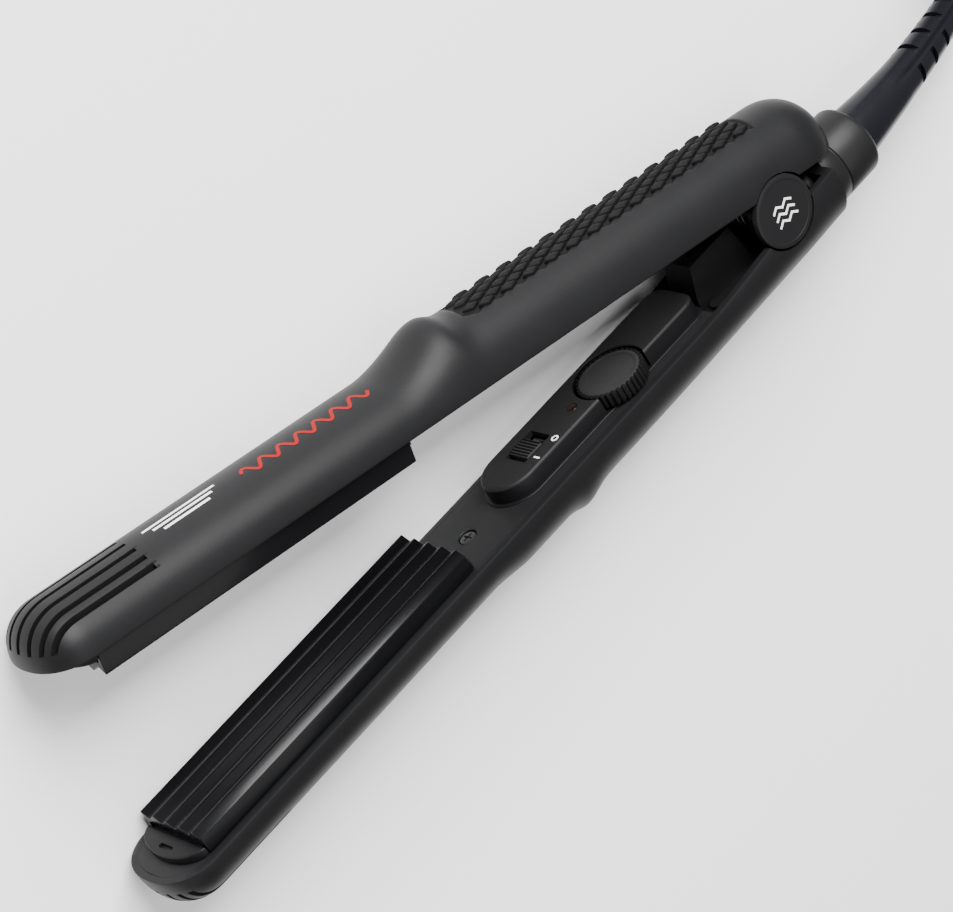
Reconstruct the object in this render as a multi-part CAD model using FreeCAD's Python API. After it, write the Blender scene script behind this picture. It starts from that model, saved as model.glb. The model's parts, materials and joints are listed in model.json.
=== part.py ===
import FreeCAD, Part
import math
import os

# Hair crimper: two hinged arms with interlocking corrugated plates, lying on its side, arms sprung open.
#
# Everything but the cord is drawn in the arm frame: the origin is on the hinge axis, +x runs to the tip,
# +y is the side with the marked pivot cap, and +z points from the lower arm to the upper arm.
# The object frame stands the arm frame's +y up, so that the object lies on its far side:
# (x, y, z) in the arm frame is (HINGE_X + x, HINGE_Y - z, HALF_WIDTH + y) in the object frame.

V = FreeCAD.Vector

# ---------------------------------------------------------------- driving dimensions, mm and degrees
HALF_WIDTH = 14.5          # both arms, at the parting line
TIP_X = 237.8              # hinge axis to the tip of either arm
NOSE_ROUND = 12.5          # length of the rounded nose
WALL = 1.9                 # shell wall
OPEN_ANGLE = 12.5          # upper arm above parallel, at the open stop
COVER_THICK = 1.8

LOWER_RIM = 6.8            # parting line below the hinge plane
LOWER_HANDLE_DEPTH = 22.2  # outer face below the hinge plane, handle
LOWER_HEATER_DEPTH = 20.3
LOWER_TAIL_DEPTH = 20.6
LOWER_TAIL_X = -20.0
LOWER_TAIL_RISE = 4.3      # the rim climbs this much towards the tail
LOWER_HUMP_X = 88.5
LOWER_HUMP = 2.1

UPPER_RIM = 6.3
UPPER_HANDLE_DEPTH = 22.6
UPPER_HEATER_DEPTH = 18.9
UPPER_TAIL_ROUND = 15.0
UPPER_TAIL_X = -12.0       # where the rounded tail begins
UPPER_HUMP_X = 105.5
UPPER_HUMP = 2.4

PLATE_X0 = 127.8
PLATE_X1 = 225.0
PLATE_HALF_WIDTH = 12.4
CRIMP_PITCH = 5.5
CRIMP_DEPTH = 1.9
LOWER_CREST = 0.0          # ridge tops of the lower plate
UPPER_CREST = -0.3         # ridge tops of the upper plate, in its own arm's frame
PLATE_BODY = 1.5           # metal under the grooves
SKIRT = 1.2
SKIRT_GAP = 0.25

POD_X0 = 31.6
POD_X1 = 107.0
POD_HALF_WIDTH = 8.4
POD_TOP = -1.5
POD_WALL = 1.5
DIAL_X = 62.4
DIAL_Y = 3.5
DIAL_RADIUS = 9.6
DIAL_TOP = -1.6
DIAL_THICK = 4.2
DIAL_TEETH = 36
SWITCH_X = 91.1
SWITCH_LENGTH = 10.2
SWITCH_HALF_WIDTH = 3.8
SLIDER_LENGTH = 5.8
SLIDER_HALF_WIDTH = 3.5
SLIDER_TOP = -0.9
LED_X = 75.9
LED_Y = 2.4
LED_RADIUS = 1.4
DECK_SCREW_X = 118.7

SCREW_HEAD_RADIUS = 2.3
SCREW_SHANK_RADIUS = 1.4
SCREW_SINK = 1.0           # head below the cover's face
REAR_SCREW_X = 70.0        # second screw of the upper cover

BOARD_TOP = -13.2
BOARD_THICK = 1.6
BOARD_X0 = 44.0
BOARD_X1 = 106.0
BOARD_HALF_WIDTH = 8.8
POT_HALF_SIDE = 5.0
POT_HEIGHT = 3.6
DIAL_NOTCH = 0.42          # radius of the notches between the dial's teeth
DIAL_SHAFT = 1.9
LED_BODY_RADIUS = 1.2
SWITCH_BODY_HALF = 6.3
SWITCH_BODY_HALF_WIDTH = 4.6
SWITCH_BODY_DROP = 1.4     # switch body under the pod's roof
SLIDER_REST = 0.8          # slider's middle in front of the window's middle, switched off
SLIDER_GROOVES = 5
LEAD_RADIUS = 1.0
HEATER_LEAD_RADIUS = 0.8
LEAD_SPACING = 3.0

CAP_RADIUS = 9.8
CAP_GAP = 0.5
CAP_INNER = 12.4           # cap's back face from the middle plane
PIN_RADIUS = 2.5
PIN_HALF_LENGTH = 12.0
RUNNING_GAP = 0.05
EAR_RADIUS = 8.6           # ears of the lower frame
EAR_INNER = 9.6
EAR_OUTER = 11.2
UPPER_EAR_RADIUS = 7.4
UPPER_EAR_INNER = 7.0
UPPER_EAR_OUTER = 9.2
BUSH_RADIUS = 3.6
SLEEVE_RADIUS = 4.0
SLEEVE_HALF_LENGTH = 6.6
FRAME_LOW = -10.8
FRAME_HIGH = -9.3
STOP_HALF_WIDTH = 5.2      # block that holds the spring's fixed leg
STOP_TOP = 3.4

COLLAR_RADIUS = 10.5
NECK_RADIUS = 7.0          # collar's neck through the lower shell's rear wall
FLANGE_RADIUS = 8.2        # inside the rear wall, holds the collar in
TAIL_CLEARANCE = 0.8
COLLAR_Z = -8.9
COLLAR_X0 = -20.3
COLLAR_X1 = -38.2
RELIEF_LENGTH = 58.0
RELIEF_DROOP = 16.0        # degrees the strain relief sags below level
RELIEF_ROOT = 7.6
RELIEF_END = 4.7
CORD_RADIUS = 3.4

HINGE_X = -99.7            # hinge axis in the object frame
HINGE_Y = 21.65

os.makedirs("parts", exist_ok=True)
NODES = {}


# ---------------------------------------------------------------- small helpers
def box(x0, x1, y0, y1, z0, z1):
    return Part.makeBox(x1 - x0, y1 - y0, z1 - z0, V(x0, y0, z0))


def rod(start, end, radius):
    start = V(*start)
    end = V(*end)
    return Part.makeCylinder(radius, (end - start).Length, start, end - start)


def cylinder_y(radius, y0, y1, x=0.0, z=0.0):
    return rod((x, y0, z), (x, y1, z), radius)


def cylinder_z(radius, z0, z1, x, y):
    return rod((x, y, z0), (x, y, z1), radius)


def cylinder_x(radius, x0, x1, y, z):
    return rod((x0, y, z), (x1, y, z), radius)


def fuse(shapes):
    shapes = list(shapes)
    whole = shapes[0]
    for shape in shapes[1:]:
        whole = whole.fuse(shape)
    return whole.removeSplitter()


def group(shapes):
    return Part.makeCompound(list(shapes))


def extrude_polygon(points, direction):
    wire = Part.makePolygon(points + [points[0]])
    return Part.Face(wire).extrude(direction)


def smooth(x, low, high):
    t = min(1.0, max(0.0, (x - low) / (high - low)))
    return t * t * (3.0 - 2.0 * t)


def bump(x, centre, rear, front):
    spread = rear if x < centre else front
    return math.exp(-((x - centre) / spread) ** 2)


def to_object_frame(shape):
    placed = shape.copy()
    placed.rotate(V(0, 0, 0), V(1, 0, 0), 90)
    placed.translate(V(HINGE_X, HINGE_Y, HALF_WIDTH))
    return placed


def opened(shape):
    turned = shape.copy()
    turned.rotate(V(0, 0, 0), V(0, 1, 0), -OPEN_ANGLE)
    return turned


def lower(name, shape):
    NODES[name] = to_object_frame(shape)


def upper(name, shape):
    NODES[name] = to_object_frame(opened(shape))


# ---------------------------------------------------------------- arm outlines
def lower_rim(x):
    return -LOWER_RIM + LOWER_TAIL_RISE * smooth(-x, -40.0, -LOWER_TAIL_X)


def lower_face(x):
    handle = LOWER_TAIL_DEPTH + (LOWER_HANDLE_DEPTH - LOWER_TAIL_DEPTH) * smooth(x, -30.0, 70.0)
    depth = handle + (LOWER_HEATER_DEPTH - handle) * smooth(x, 110.0, 125.0)
    return -(depth + LOWER_HUMP * bump(x, LOWER_HUMP_X, 5.0, 4.0))


def lower_width(x):
    return HALF_WIDTH - 0.9 * smooth(-x, 4.0, -LOWER_TAIL_X)


def upper_face(x):
    depth = UPPER_HANDLE_DEPTH + (UPPER_HEATER_DEPTH - UPPER_HANDLE_DEPTH) * smooth(x, 108.0, 126.0)
    return depth + UPPER_HUMP * bump(x, UPPER_HUMP_X, 4.0, 6.5)


def round_off(x, start, length):
    t = min(1.0, max(0.0, (x - start) / length))
    return (1.0 - t ** 2.3) ** (1.0 / 2.3)


def section(x, half_width, rim, belt, face, lip):
    """Straight sides from the rim to the belt, then a half-oval; lip lets a cutter stand above the rim."""
    steps = 12
    points = []
    for i in range(steps + 1):
        a = math.pi * i / steps
        points.append(V(x, -half_width * math.cos(a), belt + (face - belt) * math.sin(a)))
    curve = Part.BSplineCurve()
    curve.interpolate(points)
    top = rim + (lip if face < rim else -lip)
    far_top = V(x, -half_width, top)
    near_top = V(x, half_width, top)
    edges = [curve.toShape(), Part.LineSegment(points[-1], near_top).toShape(),
             Part.LineSegment(near_top, far_top).toShape(), Part.LineSegment(far_top, points[0]).toShape()]
    return Part.Wire(edges)


def loft(wires):
    return Part.makeLoft(wires, True, True)


NOSE_STEPS = (0.0, 0.25, 0.45, 0.62, 0.76, 0.87, 0.94, 0.985)
BELT = 0.6                 # the straight-sided strip beside the parting line


def lower_solid(inset, lip=0.0, x0=None):
    """Outer form of the lower arm, moved in by inset."""
    nose_start = TIP_X - NOSE_ROUND
    nose_length = NOSE_ROUND - inset
    start = LOWER_TAIL_X if x0 is None else x0
    stations = [x for x in (-20, -12, -4, 5, 15, 25, 40, 60, 79, 82, 84.5, 86.5, 88.5, 90, 92,
                             94.5, 98, 109, 113, 117, 121, 125, 175)
                if x > start + 2]
    stations = [start] + stations + [nose_start + nose_length * t for t in NOSE_STEPS]
    wires = []
    for x in stations:
        keep = round_off(x, nose_start, nose_length)
        width = (lower_width(x) - inset) * keep
        belt = -LOWER_RIM - BELT
        face = belt + (lower_face(x) + inset - belt) * keep
        wires.append(section(x, width, lower_rim(x), belt, face, lip))
    return loft(wires)


def upper_solid(inset, lip=0.0):
    """Outer form of the upper arm, moved in by inset."""
    nose_start = TIP_X - NOSE_ROUND
    nose_length = NOSE_ROUND - inset
    tail_length = UPPER_TAIL_ROUND - inset
    tail = [UPPER_TAIL_X - tail_length * t for t in reversed(NOSE_STEPS)]
    body = [30, 80, 96, 99, 101, 103, 105.5, 108, 111, 114, 117, 120, 123, 126, 175]
    nose = [nose_start + nose_length * t for t in NOSE_STEPS]
    wires = []
    for x in tail + body + nose:
        keep = round_off(x, nose_start, nose_length) * round_off(-x, -UPPER_TAIL_X, tail_length)
        width = (HALF_WIDTH - inset) * keep
        belt = UPPER_RIM + BELT
        face = belt + (upper_face(x) - inset - belt) * keep
        wires.append(section(x, width, UPPER_RIM, belt, face, lip))
    return loft(wires)


# ---------------------------------------------------------------- shells
def make_shells():
    outer = lower_solid(0.0)
    shell = outer.cut(lower_solid(WALL, lip=1.0, x0=LOWER_TAIL_X + 3.0))
    shell = shell.cut(cylinder_y(CAP_RADIUS + CAP_GAP, -20, 20))
    shell = shell.cut(cylinder_x(NECK_RADIUS + RUNNING_GAP, -25, -15, 0, COLLAR_Z))
    lower("lower_shell", shell)

    outer = upper_solid(0.0)
    shell = outer.cut(upper_solid(WALL, lip=1.0))
    shell = shell.cut(cylinder_y(CAP_RADIUS + CAP_GAP, -20, 20))
    tail_clearance = cylinder_x(COLLAR_RADIUS + TAIL_CLEARANCE, -45, -18, 0, COLLAR_Z)
    tail_clearance.rotate(V(0, 0, 0), V(0, 1, 0), OPEN_ANGLE)
    shell = shell.cut(tail_clearance)
    upper("upper_shell", shell)


# ---------------------------------------------------------------- inner covers and the control pod
def oval_arc(x, reach, half_width, z):
    """Half an oval in plan, from the near side round to the far side, bulging by reach."""
    centre = V(x, 0, z)
    side = V(x, half_width, z)
    tip = V(x + reach, 0, z)
    if abs(reach) > half_width:
        oval = Part.Ellipse(tip, side, centre)
    else:
        oval = Part.Ellipse(side, tip, centre)
    start = oval.parameter(side)
    middle = oval.parameter(tip)
    step = (middle - start + math.pi) % (2 * math.pi) - math.pi
    first = min(start, start + 2 * step)
    last = max(start, start + 2 * step)
    return Part.ArcOfEllipse(oval, first, last).toShape()


def half_oval(x, reach, half_width, z0, z1):
    arc = oval_arc(x, reach, half_width, z0)
    chord = Part.LineSegment(V(x, half_width, z0), V(x, -half_width, z0)).toShape()
    return Part.Face(Part.Wire(Part.__sortEdges__([arc, chord]))).extrude(V(0, 0, z1 - z0))


def rounded_bar(x0, x1, half_width, z0, z1, front):
    """Plan: straight sides, square rear end, half-oval front of the given length."""
    body = box(x0, x1 - front, -half_width, half_width, z0, z1)
    return body.fuse(half_oval(x1 - front, front, half_width, z0, z1)).removeSplitter()


COVER_FIT = 0.1            # cover to shell wall
LOWER_COVER_X0 = 32.0
UPPER_COVER_X0 = 14.0
BEYOND_TIP = 245.0         # reach of cutters and half spaces
BEYOND_SIDE = 20.0
CUT_LOW = -12.0
CUT_HIGH = 5.0
TRAY_OPENING_HALF = 11.1
SCREW_CLEARANCE = 1.45
HEAD_CLEARANCE = 2.45
POD_FRONT = 9.0            # length of the pod's rounded front
DIAL_CLEARANCE = 0.6


def make_lower_cover():
    side = BEYOND_SIDE
    deck = lower_solid(WALL + COVER_FIT, lip=0.0, x0=LOWER_COVER_X0)
    deck = deck.common(box(LOWER_COVER_X0, BEYOND_TIP, -side, side,
                           -LOWER_RIM - COVER_THICK, -LOWER_RIM + 3))
    deck = deck.cut(box(0, BEYOND_TIP, -side, side, -LOWER_RIM, CUT_HIGH))
    pod = rounded_bar(POD_X0, POD_X1, POD_HALF_WIDTH, -LOWER_RIM - 0.5, POD_TOP, POD_FRONT)
    inside = rounded_bar(POD_X0 - 1, POD_X1 - POD_WALL, POD_HALF_WIDTH - POD_WALL,
                         -LOWER_RIM - 5, POD_TOP - POD_WALL, POD_FRONT - 1)
    cover = deck.fuse(pod).cut(inside)
    cover = cover.cut(box(PLATE_X0 + 0.4, PLATE_X1 - 0.2, -TRAY_OPENING_HALF, TRAY_OPENING_HALF, CUT_LOW, 0))
    bay_floor = DIAL_TOP - DIAL_THICK - 0.5
    cover = cover.cut(cylinder_z(DIAL_RADIUS + DIAL_CLEARANCE, bay_floor, CUT_HIGH, DIAL_X, DIAL_Y))
    half = SWITCH_LENGTH / 2
    cover = cover.cut(box(SWITCH_X - half, SWITCH_X + half, -SWITCH_HALF_WIDTH, SWITCH_HALF_WIDTH,
                          CUT_LOW, CUT_HIGH))
    cover = cover.cut(cylinder_z(LED_RADIUS + RUNNING_GAP, CUT_LOW, CUT_HIGH, LED_X, LED_Y))
    cover = cover.cut(cylinder_z(SCREW_CLEARANCE, CUT_LOW, 0, DECK_SCREW_X, 0))
    cover = cover.cut(cylinder_z(HEAD_CLEARANCE, -LOWER_RIM - SCREW_SINK, 0, DECK_SCREW_X, 0))
    lower("lower_inner_cover", cover)


def make_upper_cover():
    side = BEYOND_SIDE
    deck = upper_solid(WALL + COVER_FIT)
    deck = deck.common(box(UPPER_COVER_X0, BEYOND_TIP, -side, side, UPPER_RIM - 1, UPPER_RIM + COVER_THICK))
    deck = deck.cut(box(PLATE_X0 + 0.4, PLATE_X1 - 0.2, -TRAY_OPENING_HALF, TRAY_OPENING_HALF, 0, -CUT_LOW))
    for x in (DECK_SCREW_X, REAR_SCREW_X):
        deck = deck.cut(cylinder_z(SCREW_CLEARANCE, 0, -CUT_LOW, x, 0))
        deck = deck.cut(cylinder_z(HEAD_CLEARANCE, 0, UPPER_RIM + SCREW_SINK, x, 0))
    upper("upper_inner_cover", deck)


def cross_screw(x, face_z, sign):
    """Pan-head screw let into a cover; sign is +1 where the head looks up."""
    head_length = SCREW_SINK - RUNNING_GAP
    shank_length = 8.0
    slot_half_length = 1.4
    slot_half_width = 0.3
    slot_depth = 0.6
    head_end = face_z - sign * head_length
    head = cylinder_z(SCREW_HEAD_RADIUS, min(face_z, head_end), max(face_z, head_end), x, 0)
    shank_end = face_z - sign * shank_length
    shank = cylinder_z(SCREW_SHANK_RADIUS, min(face_z, shank_end), max(face_z, shank_end), x, 0)
    low = min(face_z, face_z - sign * slot_depth)
    high = low + slot_depth
    slot_x = box(x - slot_half_length, x + slot_half_length, -slot_half_width, slot_half_width, low, high)
    slot_y = box(x - slot_half_width, x + slot_half_width, -slot_half_length, slot_half_length, low, high)
    return head.fuse(shank).cut(slot_x).cut(slot_y)


def make_cover_screws():
    lower("lower_cover_screw", cross_screw(DECK_SCREW_X, -LOWER_RIM, 1))
    upper("upper_cover_screws", group([cross_screw(x, UPPER_RIM, -1) for x in (DECK_SCREW_X, REAR_SCREW_X)]))


# ---------------------------------------------------------------- crimp plates and heaters
def crimp_profile(crest, valley, crest_at_far_edge, back, skirt_end):
    """Cross-section of a plate in the y-z plane: zigzag face, flat back, two skirts."""
    face = []
    y = -PLATE_HALF_WIDTH
    at_crest = crest_at_far_edge
    while y < PLATE_HALF_WIDTH + 0.01:
        face.append((y, crest if at_crest else valley))
        at_crest = not at_crest
        y += CRIMP_PITCH / 2
    half = face[-1][0]
    under = [(half, skirt_end), (half - SKIRT, skirt_end), (half - SKIRT, back),
             (-PLATE_HALF_WIDTH + SKIRT, back), (-PLATE_HALF_WIDTH + SKIRT, skirt_end),
             (-PLATE_HALF_WIDTH, skirt_end)]
    return face + under


def crimp_plate(profile):
    points = [V(PLATE_X0, y, z) for y, z in profile]
    return extrude_polygon(points, V(PLATE_X1 - PLATE_X0, 0, 0))


def mirrored(shape, sign):
    if sign > 0:
        return shape
    return shape.mirror(V(0, 0, 0), V(0, 0, 1))


TRAY_HALF_WIDTH = 10.9
CAP_HALF_WIDTH = 11.9      # end caps of the tray, beyond the plate
FRONT_CAP_REACH = 6.4
REAR_CAP_REACH = 2.2
HEATER_HALF_WIDTH = 7.9
MICA_HALF_WIDTH = 7.6
SPRING_HALF_WIDTH = 4.0
SPRING_METAL = 0.6
THERMISTOR_RADIUS = 1.2


def make_heater(place, prefix, sign, rim, back):
    """Parts under one plate, drawn as for the upper arm and mirrored for the lower one."""
    cap_out = rim - 0.3
    neck_out = rim - 0.35
    tray = box(PLATE_X0 + 0.6, PLATE_X1 - 0.4, -TRAY_HALF_WIDTH, TRAY_HALF_WIDTH, back + 0.1, rim + 2.9)
    tray = tray.cut(box(134, 216, -8.2, 8.2, back - 1, rim + 1.4))
    sensor_slot = box(207.0, 214.0, -1.6, 1.6, rim, rim + 4)
    tray = tray.cut(sensor_slot)
    front = half_oval(PLATE_X1 + 0.2, FRONT_CAP_REACH, CAP_HALF_WIDTH, rim - 2.5, cap_out)
    neck = box(PLATE_X1 - 1.0, PLATE_X1 + 1.0, -10.0, 10.0, rim - 2.2, neck_out)
    rear = half_oval(PLATE_X0 - 0.2, -REAR_CAP_REACH, CAP_HALF_WIDTH, rim - 2.2, cap_out)
    rear_neck = box(PLATE_X0 - 1.0, PLATE_X0 + 1.0, -10.0, 10.0, rim - 2.0, neck_out)
    place(prefix + "_plate_carrier", mirrored(fuse([tray, front, neck, rear, rear_neck]), sign))
    heater = box(136, 214, -HEATER_HALF_WIDTH, HEATER_HALF_WIDTH, back + RUNNING_GAP, rim + 0.7)
    place(prefix + "_heater", mirrored(heater, sign))
    mica = box(137, 213, -MICA_HALF_WIDTH, MICA_HALF_WIDTH, rim + 0.8, rim + 1.3)
    place(prefix + "_mica_sheet", mirrored(mica, sign))
    half = SPRING_HALF_WIDTH
    bend = half - SPRING_METAL
    strip = box(150, 205, -half, half, rim + 3.0, rim + 3.0 + SPRING_METAL)
    foot = box(150, 205, -half, -bend, rim + 3.6, rim + 7.0)
    other_foot = box(150, 205, bend, half, rim + 3.6, rim + 7.0)
    place(prefix + "_plate_spring", mirrored(fuse([strip, foot, other_foot]), sign))
    thermistor = cylinder_x(THERMISTOR_RADIUS, 207.5, 213.5, 0, rim + 2.8)
    place(prefix + "_thermistor", mirrored(thermistor, sign))


def make_plates():
    profile = crimp_profile(LOWER_CREST, LOWER_CREST - CRIMP_DEPTH, True,
                            LOWER_CREST - CRIMP_DEPTH - PLATE_BODY, -LOWER_RIM + SKIRT_GAP)
    lower("lower_plate", crimp_plate(profile))
    profile = crimp_profile(UPPER_CREST, UPPER_CREST + CRIMP_DEPTH, False,
                            UPPER_CREST + CRIMP_DEPTH + PLATE_BODY, UPPER_RIM - SKIRT_GAP)
    upper("upper_plate", crimp_plate(profile))
    make_heater(lower, "lower", -1, LOWER_RIM, CRIMP_DEPTH + PLATE_BODY - LOWER_CREST)
    make_heater(upper, "upper", 1, UPPER_RIM, UPPER_CREST + CRIMP_DEPTH + PLATE_BODY)


# ---------------------------------------------------------------- controls
def make_dial():
    base = DIAL_TOP - DIAL_THICK
    dial = cylinder_z(DIAL_RADIUS, base, DIAL_TOP, DIAL_X, DIAL_Y)
    notches = []
    for i in range(DIAL_TEETH):
        a = 2 * math.pi * i / DIAL_TEETH
        x = DIAL_X + DIAL_RADIUS * math.cos(a)
        y = DIAL_Y + DIAL_RADIUS * math.sin(a)
        notches.append(cylinder_z(DIAL_NOTCH, base - 1, DIAL_TOP + 1, x, y))
    dial = dial.cut(group(notches))
    shaft_end = BOARD_TOP + POT_HEIGHT + 0.15
    shaft = cylinder_z(DIAL_SHAFT, shaft_end, base + 0.5, DIAL_X, DIAL_Y)
    lower("temperature_dial", fuse([dial, shaft]))


def make_switch():
    top = POD_TOP - POD_WALL - SWITCH_BODY_DROP
    half = SWITCH_BODY_HALF
    side = SWITCH_BODY_HALF_WIDTH
    body = box(SWITCH_X - half, SWITCH_X + half, -side, side, BOARD_TOP, top)
    stem_slot = box(SWITCH_X - 4.9, SWITCH_X + 4.9, -2.4, 2.4, top - 3, top + 1)
    lower("power_switch", body.cut(stem_slot))

    x0 = SWITCH_X - SLIDER_LENGTH / 2 + SLIDER_REST
    slider = box(x0, x0 + SLIDER_LENGTH, -SLIDER_HALF_WIDTH, SLIDER_HALF_WIDTH, top + 0.2, SLIDER_TOP)
    for i in range(SLIDER_GROOVES):
        x = x0 + 0.9 + i
        slider = slider.cut(box(x - 0.2, x + 0.2, -5, 5, SLIDER_TOP - 0.35, 1))
    stem = box(x0 + 1.6, x0 + 4.2, -1.4, 1.4, top - 2.4, top + 0.3)
    lower("power_slider", fuse([slider, stem]))


def make_controls():
    side = BOARD_HALF_WIDTH
    lower("circuit_board", box(BOARD_X0, BOARD_X1, -side, side, BOARD_TOP - BOARD_THICK, BOARD_TOP))
    half = POT_HALF_SIDE
    lower("potentiometer", box(DIAL_X - half, DIAL_X + half, DIAL_Y - half, DIAL_Y + half,
                               BOARD_TOP, BOARD_TOP + POT_HEIGHT))
    make_dial()
    lower("indicator_lens", cylinder_z(LED_RADIUS, BOARD_TOP + 2.0, POD_TOP + 0.1, LED_X, LED_Y))
    lower("indicator_led", cylinder_z(LED_BODY_RADIUS, BOARD_TOP, BOARD_TOP + 1.9, LED_X, LED_Y))
    make_switch()
    lower("thermal_fuse", cylinder_x(2.0, 111, 123, 5.5, -13.0))
    places = (-LEAD_SPACING, LEAD_SPACING)
    mains = [cylinder_x(LEAD_RADIUS, 12, BOARD_X0 - 0.4, y, BOARD_TOP - 0.8) for y in places + (0.0,)]
    lower("mains_leads", group(mains))
    radius = HEATER_LEAD_RADIUS
    lower("lower_heater_leads", group([cylinder_x(radius, 106.4, 134, y, -11.0) for y in places]))
    upper("upper_heater_leads", group([cylinder_x(radius, 14, 126, y, 10.4) for y in places]))


# ---------------------------------------------------------------- hinge
def torsion_spring():
    """Round wire: a leg on the lower frame, the turns about the pin, and a leg under the upper frame."""
    coil_radius = 5.2
    wire = 0.85
    turns = 3.5
    pitch = 2.3
    width = turns * pitch
    helix = Part.makeHelix(pitch, width, coil_radius)
    climb = pitch / (2 * math.pi * coil_radius)
    start = V(coil_radius, 0, 0)
    start_leg = V(0, -1, -climb).normalize() * 9.0
    end = V(-coil_radius, 0, width)
    end_leg = V(0, -1, climb).normalize() * 9.0
    path = Part.Wire([Part.LineSegment(start + start_leg, start).toShape()] + helix.Edges
                     + [Part.LineSegment(end, end + end_leg).toShape()])
    section_circle = Part.Wire(Part.makeCircle(wire, start + start_leg, start_leg))
    spring = path.makePipeShell([section_circle], True, False)
    spring.translate(V(0, 0, -width / 2))
    spring.rotate(V(0, 0, 0), V(1, 0, 0), 90)
    spring.rotate(V(0, 0, 0), V(0, 1, 0), 90)
    return spring


def between(side, inner, outer):
    """The two distances on one side of the middle plane, lower one first."""
    return min(side * inner, side * outer), max(side * inner, side * outer)


def make_hinge_frame():
    """Base plate with two ears for the pin, and the block that holds the spring's fixed leg."""
    base = box(-13, 31, -10.8, 10.8, FRAME_LOW, FRAME_HIGH)
    ears = []
    ear_foot = -10.2
    for side in (-1, 1):
        low, high = between(side, EAR_INNER, EAR_OUTER)
        ear = cylinder_y(EAR_RADIUS, low, high)
        leg = box(-7, 7, low, high, ear_foot, 0)
        ears.append(ear.fuse(leg).common(box(-20, 20, -20, 20, ear_foot, 20)))
    side = STOP_HALF_WIDTH
    block_side = [V(9.0, -side, -10), V(31.0, -side, -10), V(30.2, -side, -5.0), V(27.4, -side, STOP_TOP),
                  V(11.5, -side, STOP_TOP)]
    block = extrude_polygon(block_side, V(0, 2 * side, 0))
    frame = fuse([base] + ears + [block])
    frame = frame.cut(cylinder_y(PIN_RADIUS, -15, 15))
    spring_leg_slot = box(8, 12, -4.6, -1.8, -6.5, -3.9)
    frame = frame.cut(spring_leg_slot)
    screws = []
    for x in (-10.5, 27.0):
        for y in (-8.0, 8.0):
            head = cylinder_z(2.2, FRAME_HIGH, FRAME_HIGH + 1.2, x, y)
            shank = cylinder_z(1.2, -14.5, FRAME_HIGH, x, y)
            screws.append(head.fuse(shank))
    lower("hinge_frame", frame.cut(group(screws)))
    lower("hinge_frame_screws", group(screws))


def make_hinge():
    make_hinge_frame()
    lower("hinge_pin", cylinder_y(PIN_RADIUS, -PIN_HALF_LENGTH, PIN_HALF_LENGTH))
    for side, name in ((1, "pivot_cap_near"), (-1, "pivot_cap_far")):
        face = cylinder_y(CAP_RADIUS, *between(side, CAP_INNER, HALF_WIDTH))
        boss = cylinder_y(4.0, *between(side, EAR_OUTER, CAP_INNER + 0.1))
        socket = cylinder_y(PIN_RADIUS, *between(side, 10.0, PIN_HALF_LENGTH))
        lower(name, face.fuse(boss).cut(socket))

    bushes = []
    ears = []
    for side in (-1, 1):
        low, high = between(side, UPPER_EAR_INNER, UPPER_EAR_OUTER)
        ear = cylinder_y(UPPER_EAR_RADIUS, low, high)
        leg = box(-6, 7, low, high, 0, 12.0)
        ears.append(ear.fuse(leg).cut(cylinder_y(BUSH_RADIUS, -15, 15)))
        bush = cylinder_y(BUSH_RADIUS, low, high).cut(cylinder_y(PIN_RADIUS + RUNNING_GAP, -15, 15))
        bushes.append(bush)
    bridge = box(-12, 34, -UPPER_EAR_OUTER, UPPER_EAR_OUTER, 11.4, 13.0)
    upper("upper_hinge_frame", fuse(ears + [bridge]))
    upper("hinge_bushes", group(bushes))

    sleeve = cylinder_y(SLEEVE_RADIUS, -SLEEVE_HALF_LENGTH, SLEEVE_HALF_LENGTH)
    lower("spring_sleeve", sleeve.cut(cylinder_y(PIN_RADIUS, -15, 15)))
    lower("torsion_spring", torsion_spring())


# ---------------------------------------------------------------- cord exit
def make_swivel():
    collar = cylinder_x(COLLAR_RADIUS, COLLAR_X1, COLLAR_X0, 0, COLLAR_Z)
    collar = collar.makeChamfer(0.8, [edge for edge in collar.Edges if len(edge.Vertexes) == 1])
    neck_end = -14.6
    neck = cylinder_x(NECK_RADIUS, COLLAR_X0 - 1, neck_end, 0, COLLAR_Z)
    flange = cylinder_x(FLANGE_RADIUS, -16.8, neck_end, 0, COLLAR_Z)
    bore = cylinder_x(4.2, -32, -14, 0, COLLAR_Z)
    lower("swivel_collar", fuse([collar, neck, flange]).cut(bore))
    rings = []
    for x in (-30.0, -24.0):
        ring = cylinder_x(4.15, x, x + 3.0, 0, COLLAR_Z).cut(cylinder_x(3.2, x - 1, x + 4, 0, COLLAR_Z))
        rings.append(ring)
    lower("slip_rings", group(rings))
    brush_block = cylinder_x(3.0, -31.0, -13.3, 0, COLLAR_Z)
    lower("brush_holder", brush_block)


RELIEF_RADIUS = RELIEF_LENGTH / math.radians(RELIEF_DROOP)


def relief_point(distance):
    """A point on the sagging centre line, in the object frame, and its direction."""
    turn = distance / RELIEF_RADIUS
    start = V(HINGE_X + COLLAR_X1, HINGE_Y - COLLAR_Z, HALF_WIDTH)
    point = start + V(-RELIEF_RADIUS * math.sin(turn), 0, -RELIEF_RADIUS * (1 - math.cos(turn)))
    return point, V(-math.cos(turn), 0, -math.sin(turn))


def make_relief():
    wires = []
    steps = 6
    for i in range(steps + 1):
        t = i / steps
        point, direction = relief_point(RELIEF_LENGTH * t)
        radius = RELIEF_ROOT + (RELIEF_END - RELIEF_ROOT) * t
        wires.append(Part.Wire(Part.makeCircle(radius, point, direction)))
    NODES["strain_relief"] = Part.makeLoft(wires, True, False, False, 3)


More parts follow.
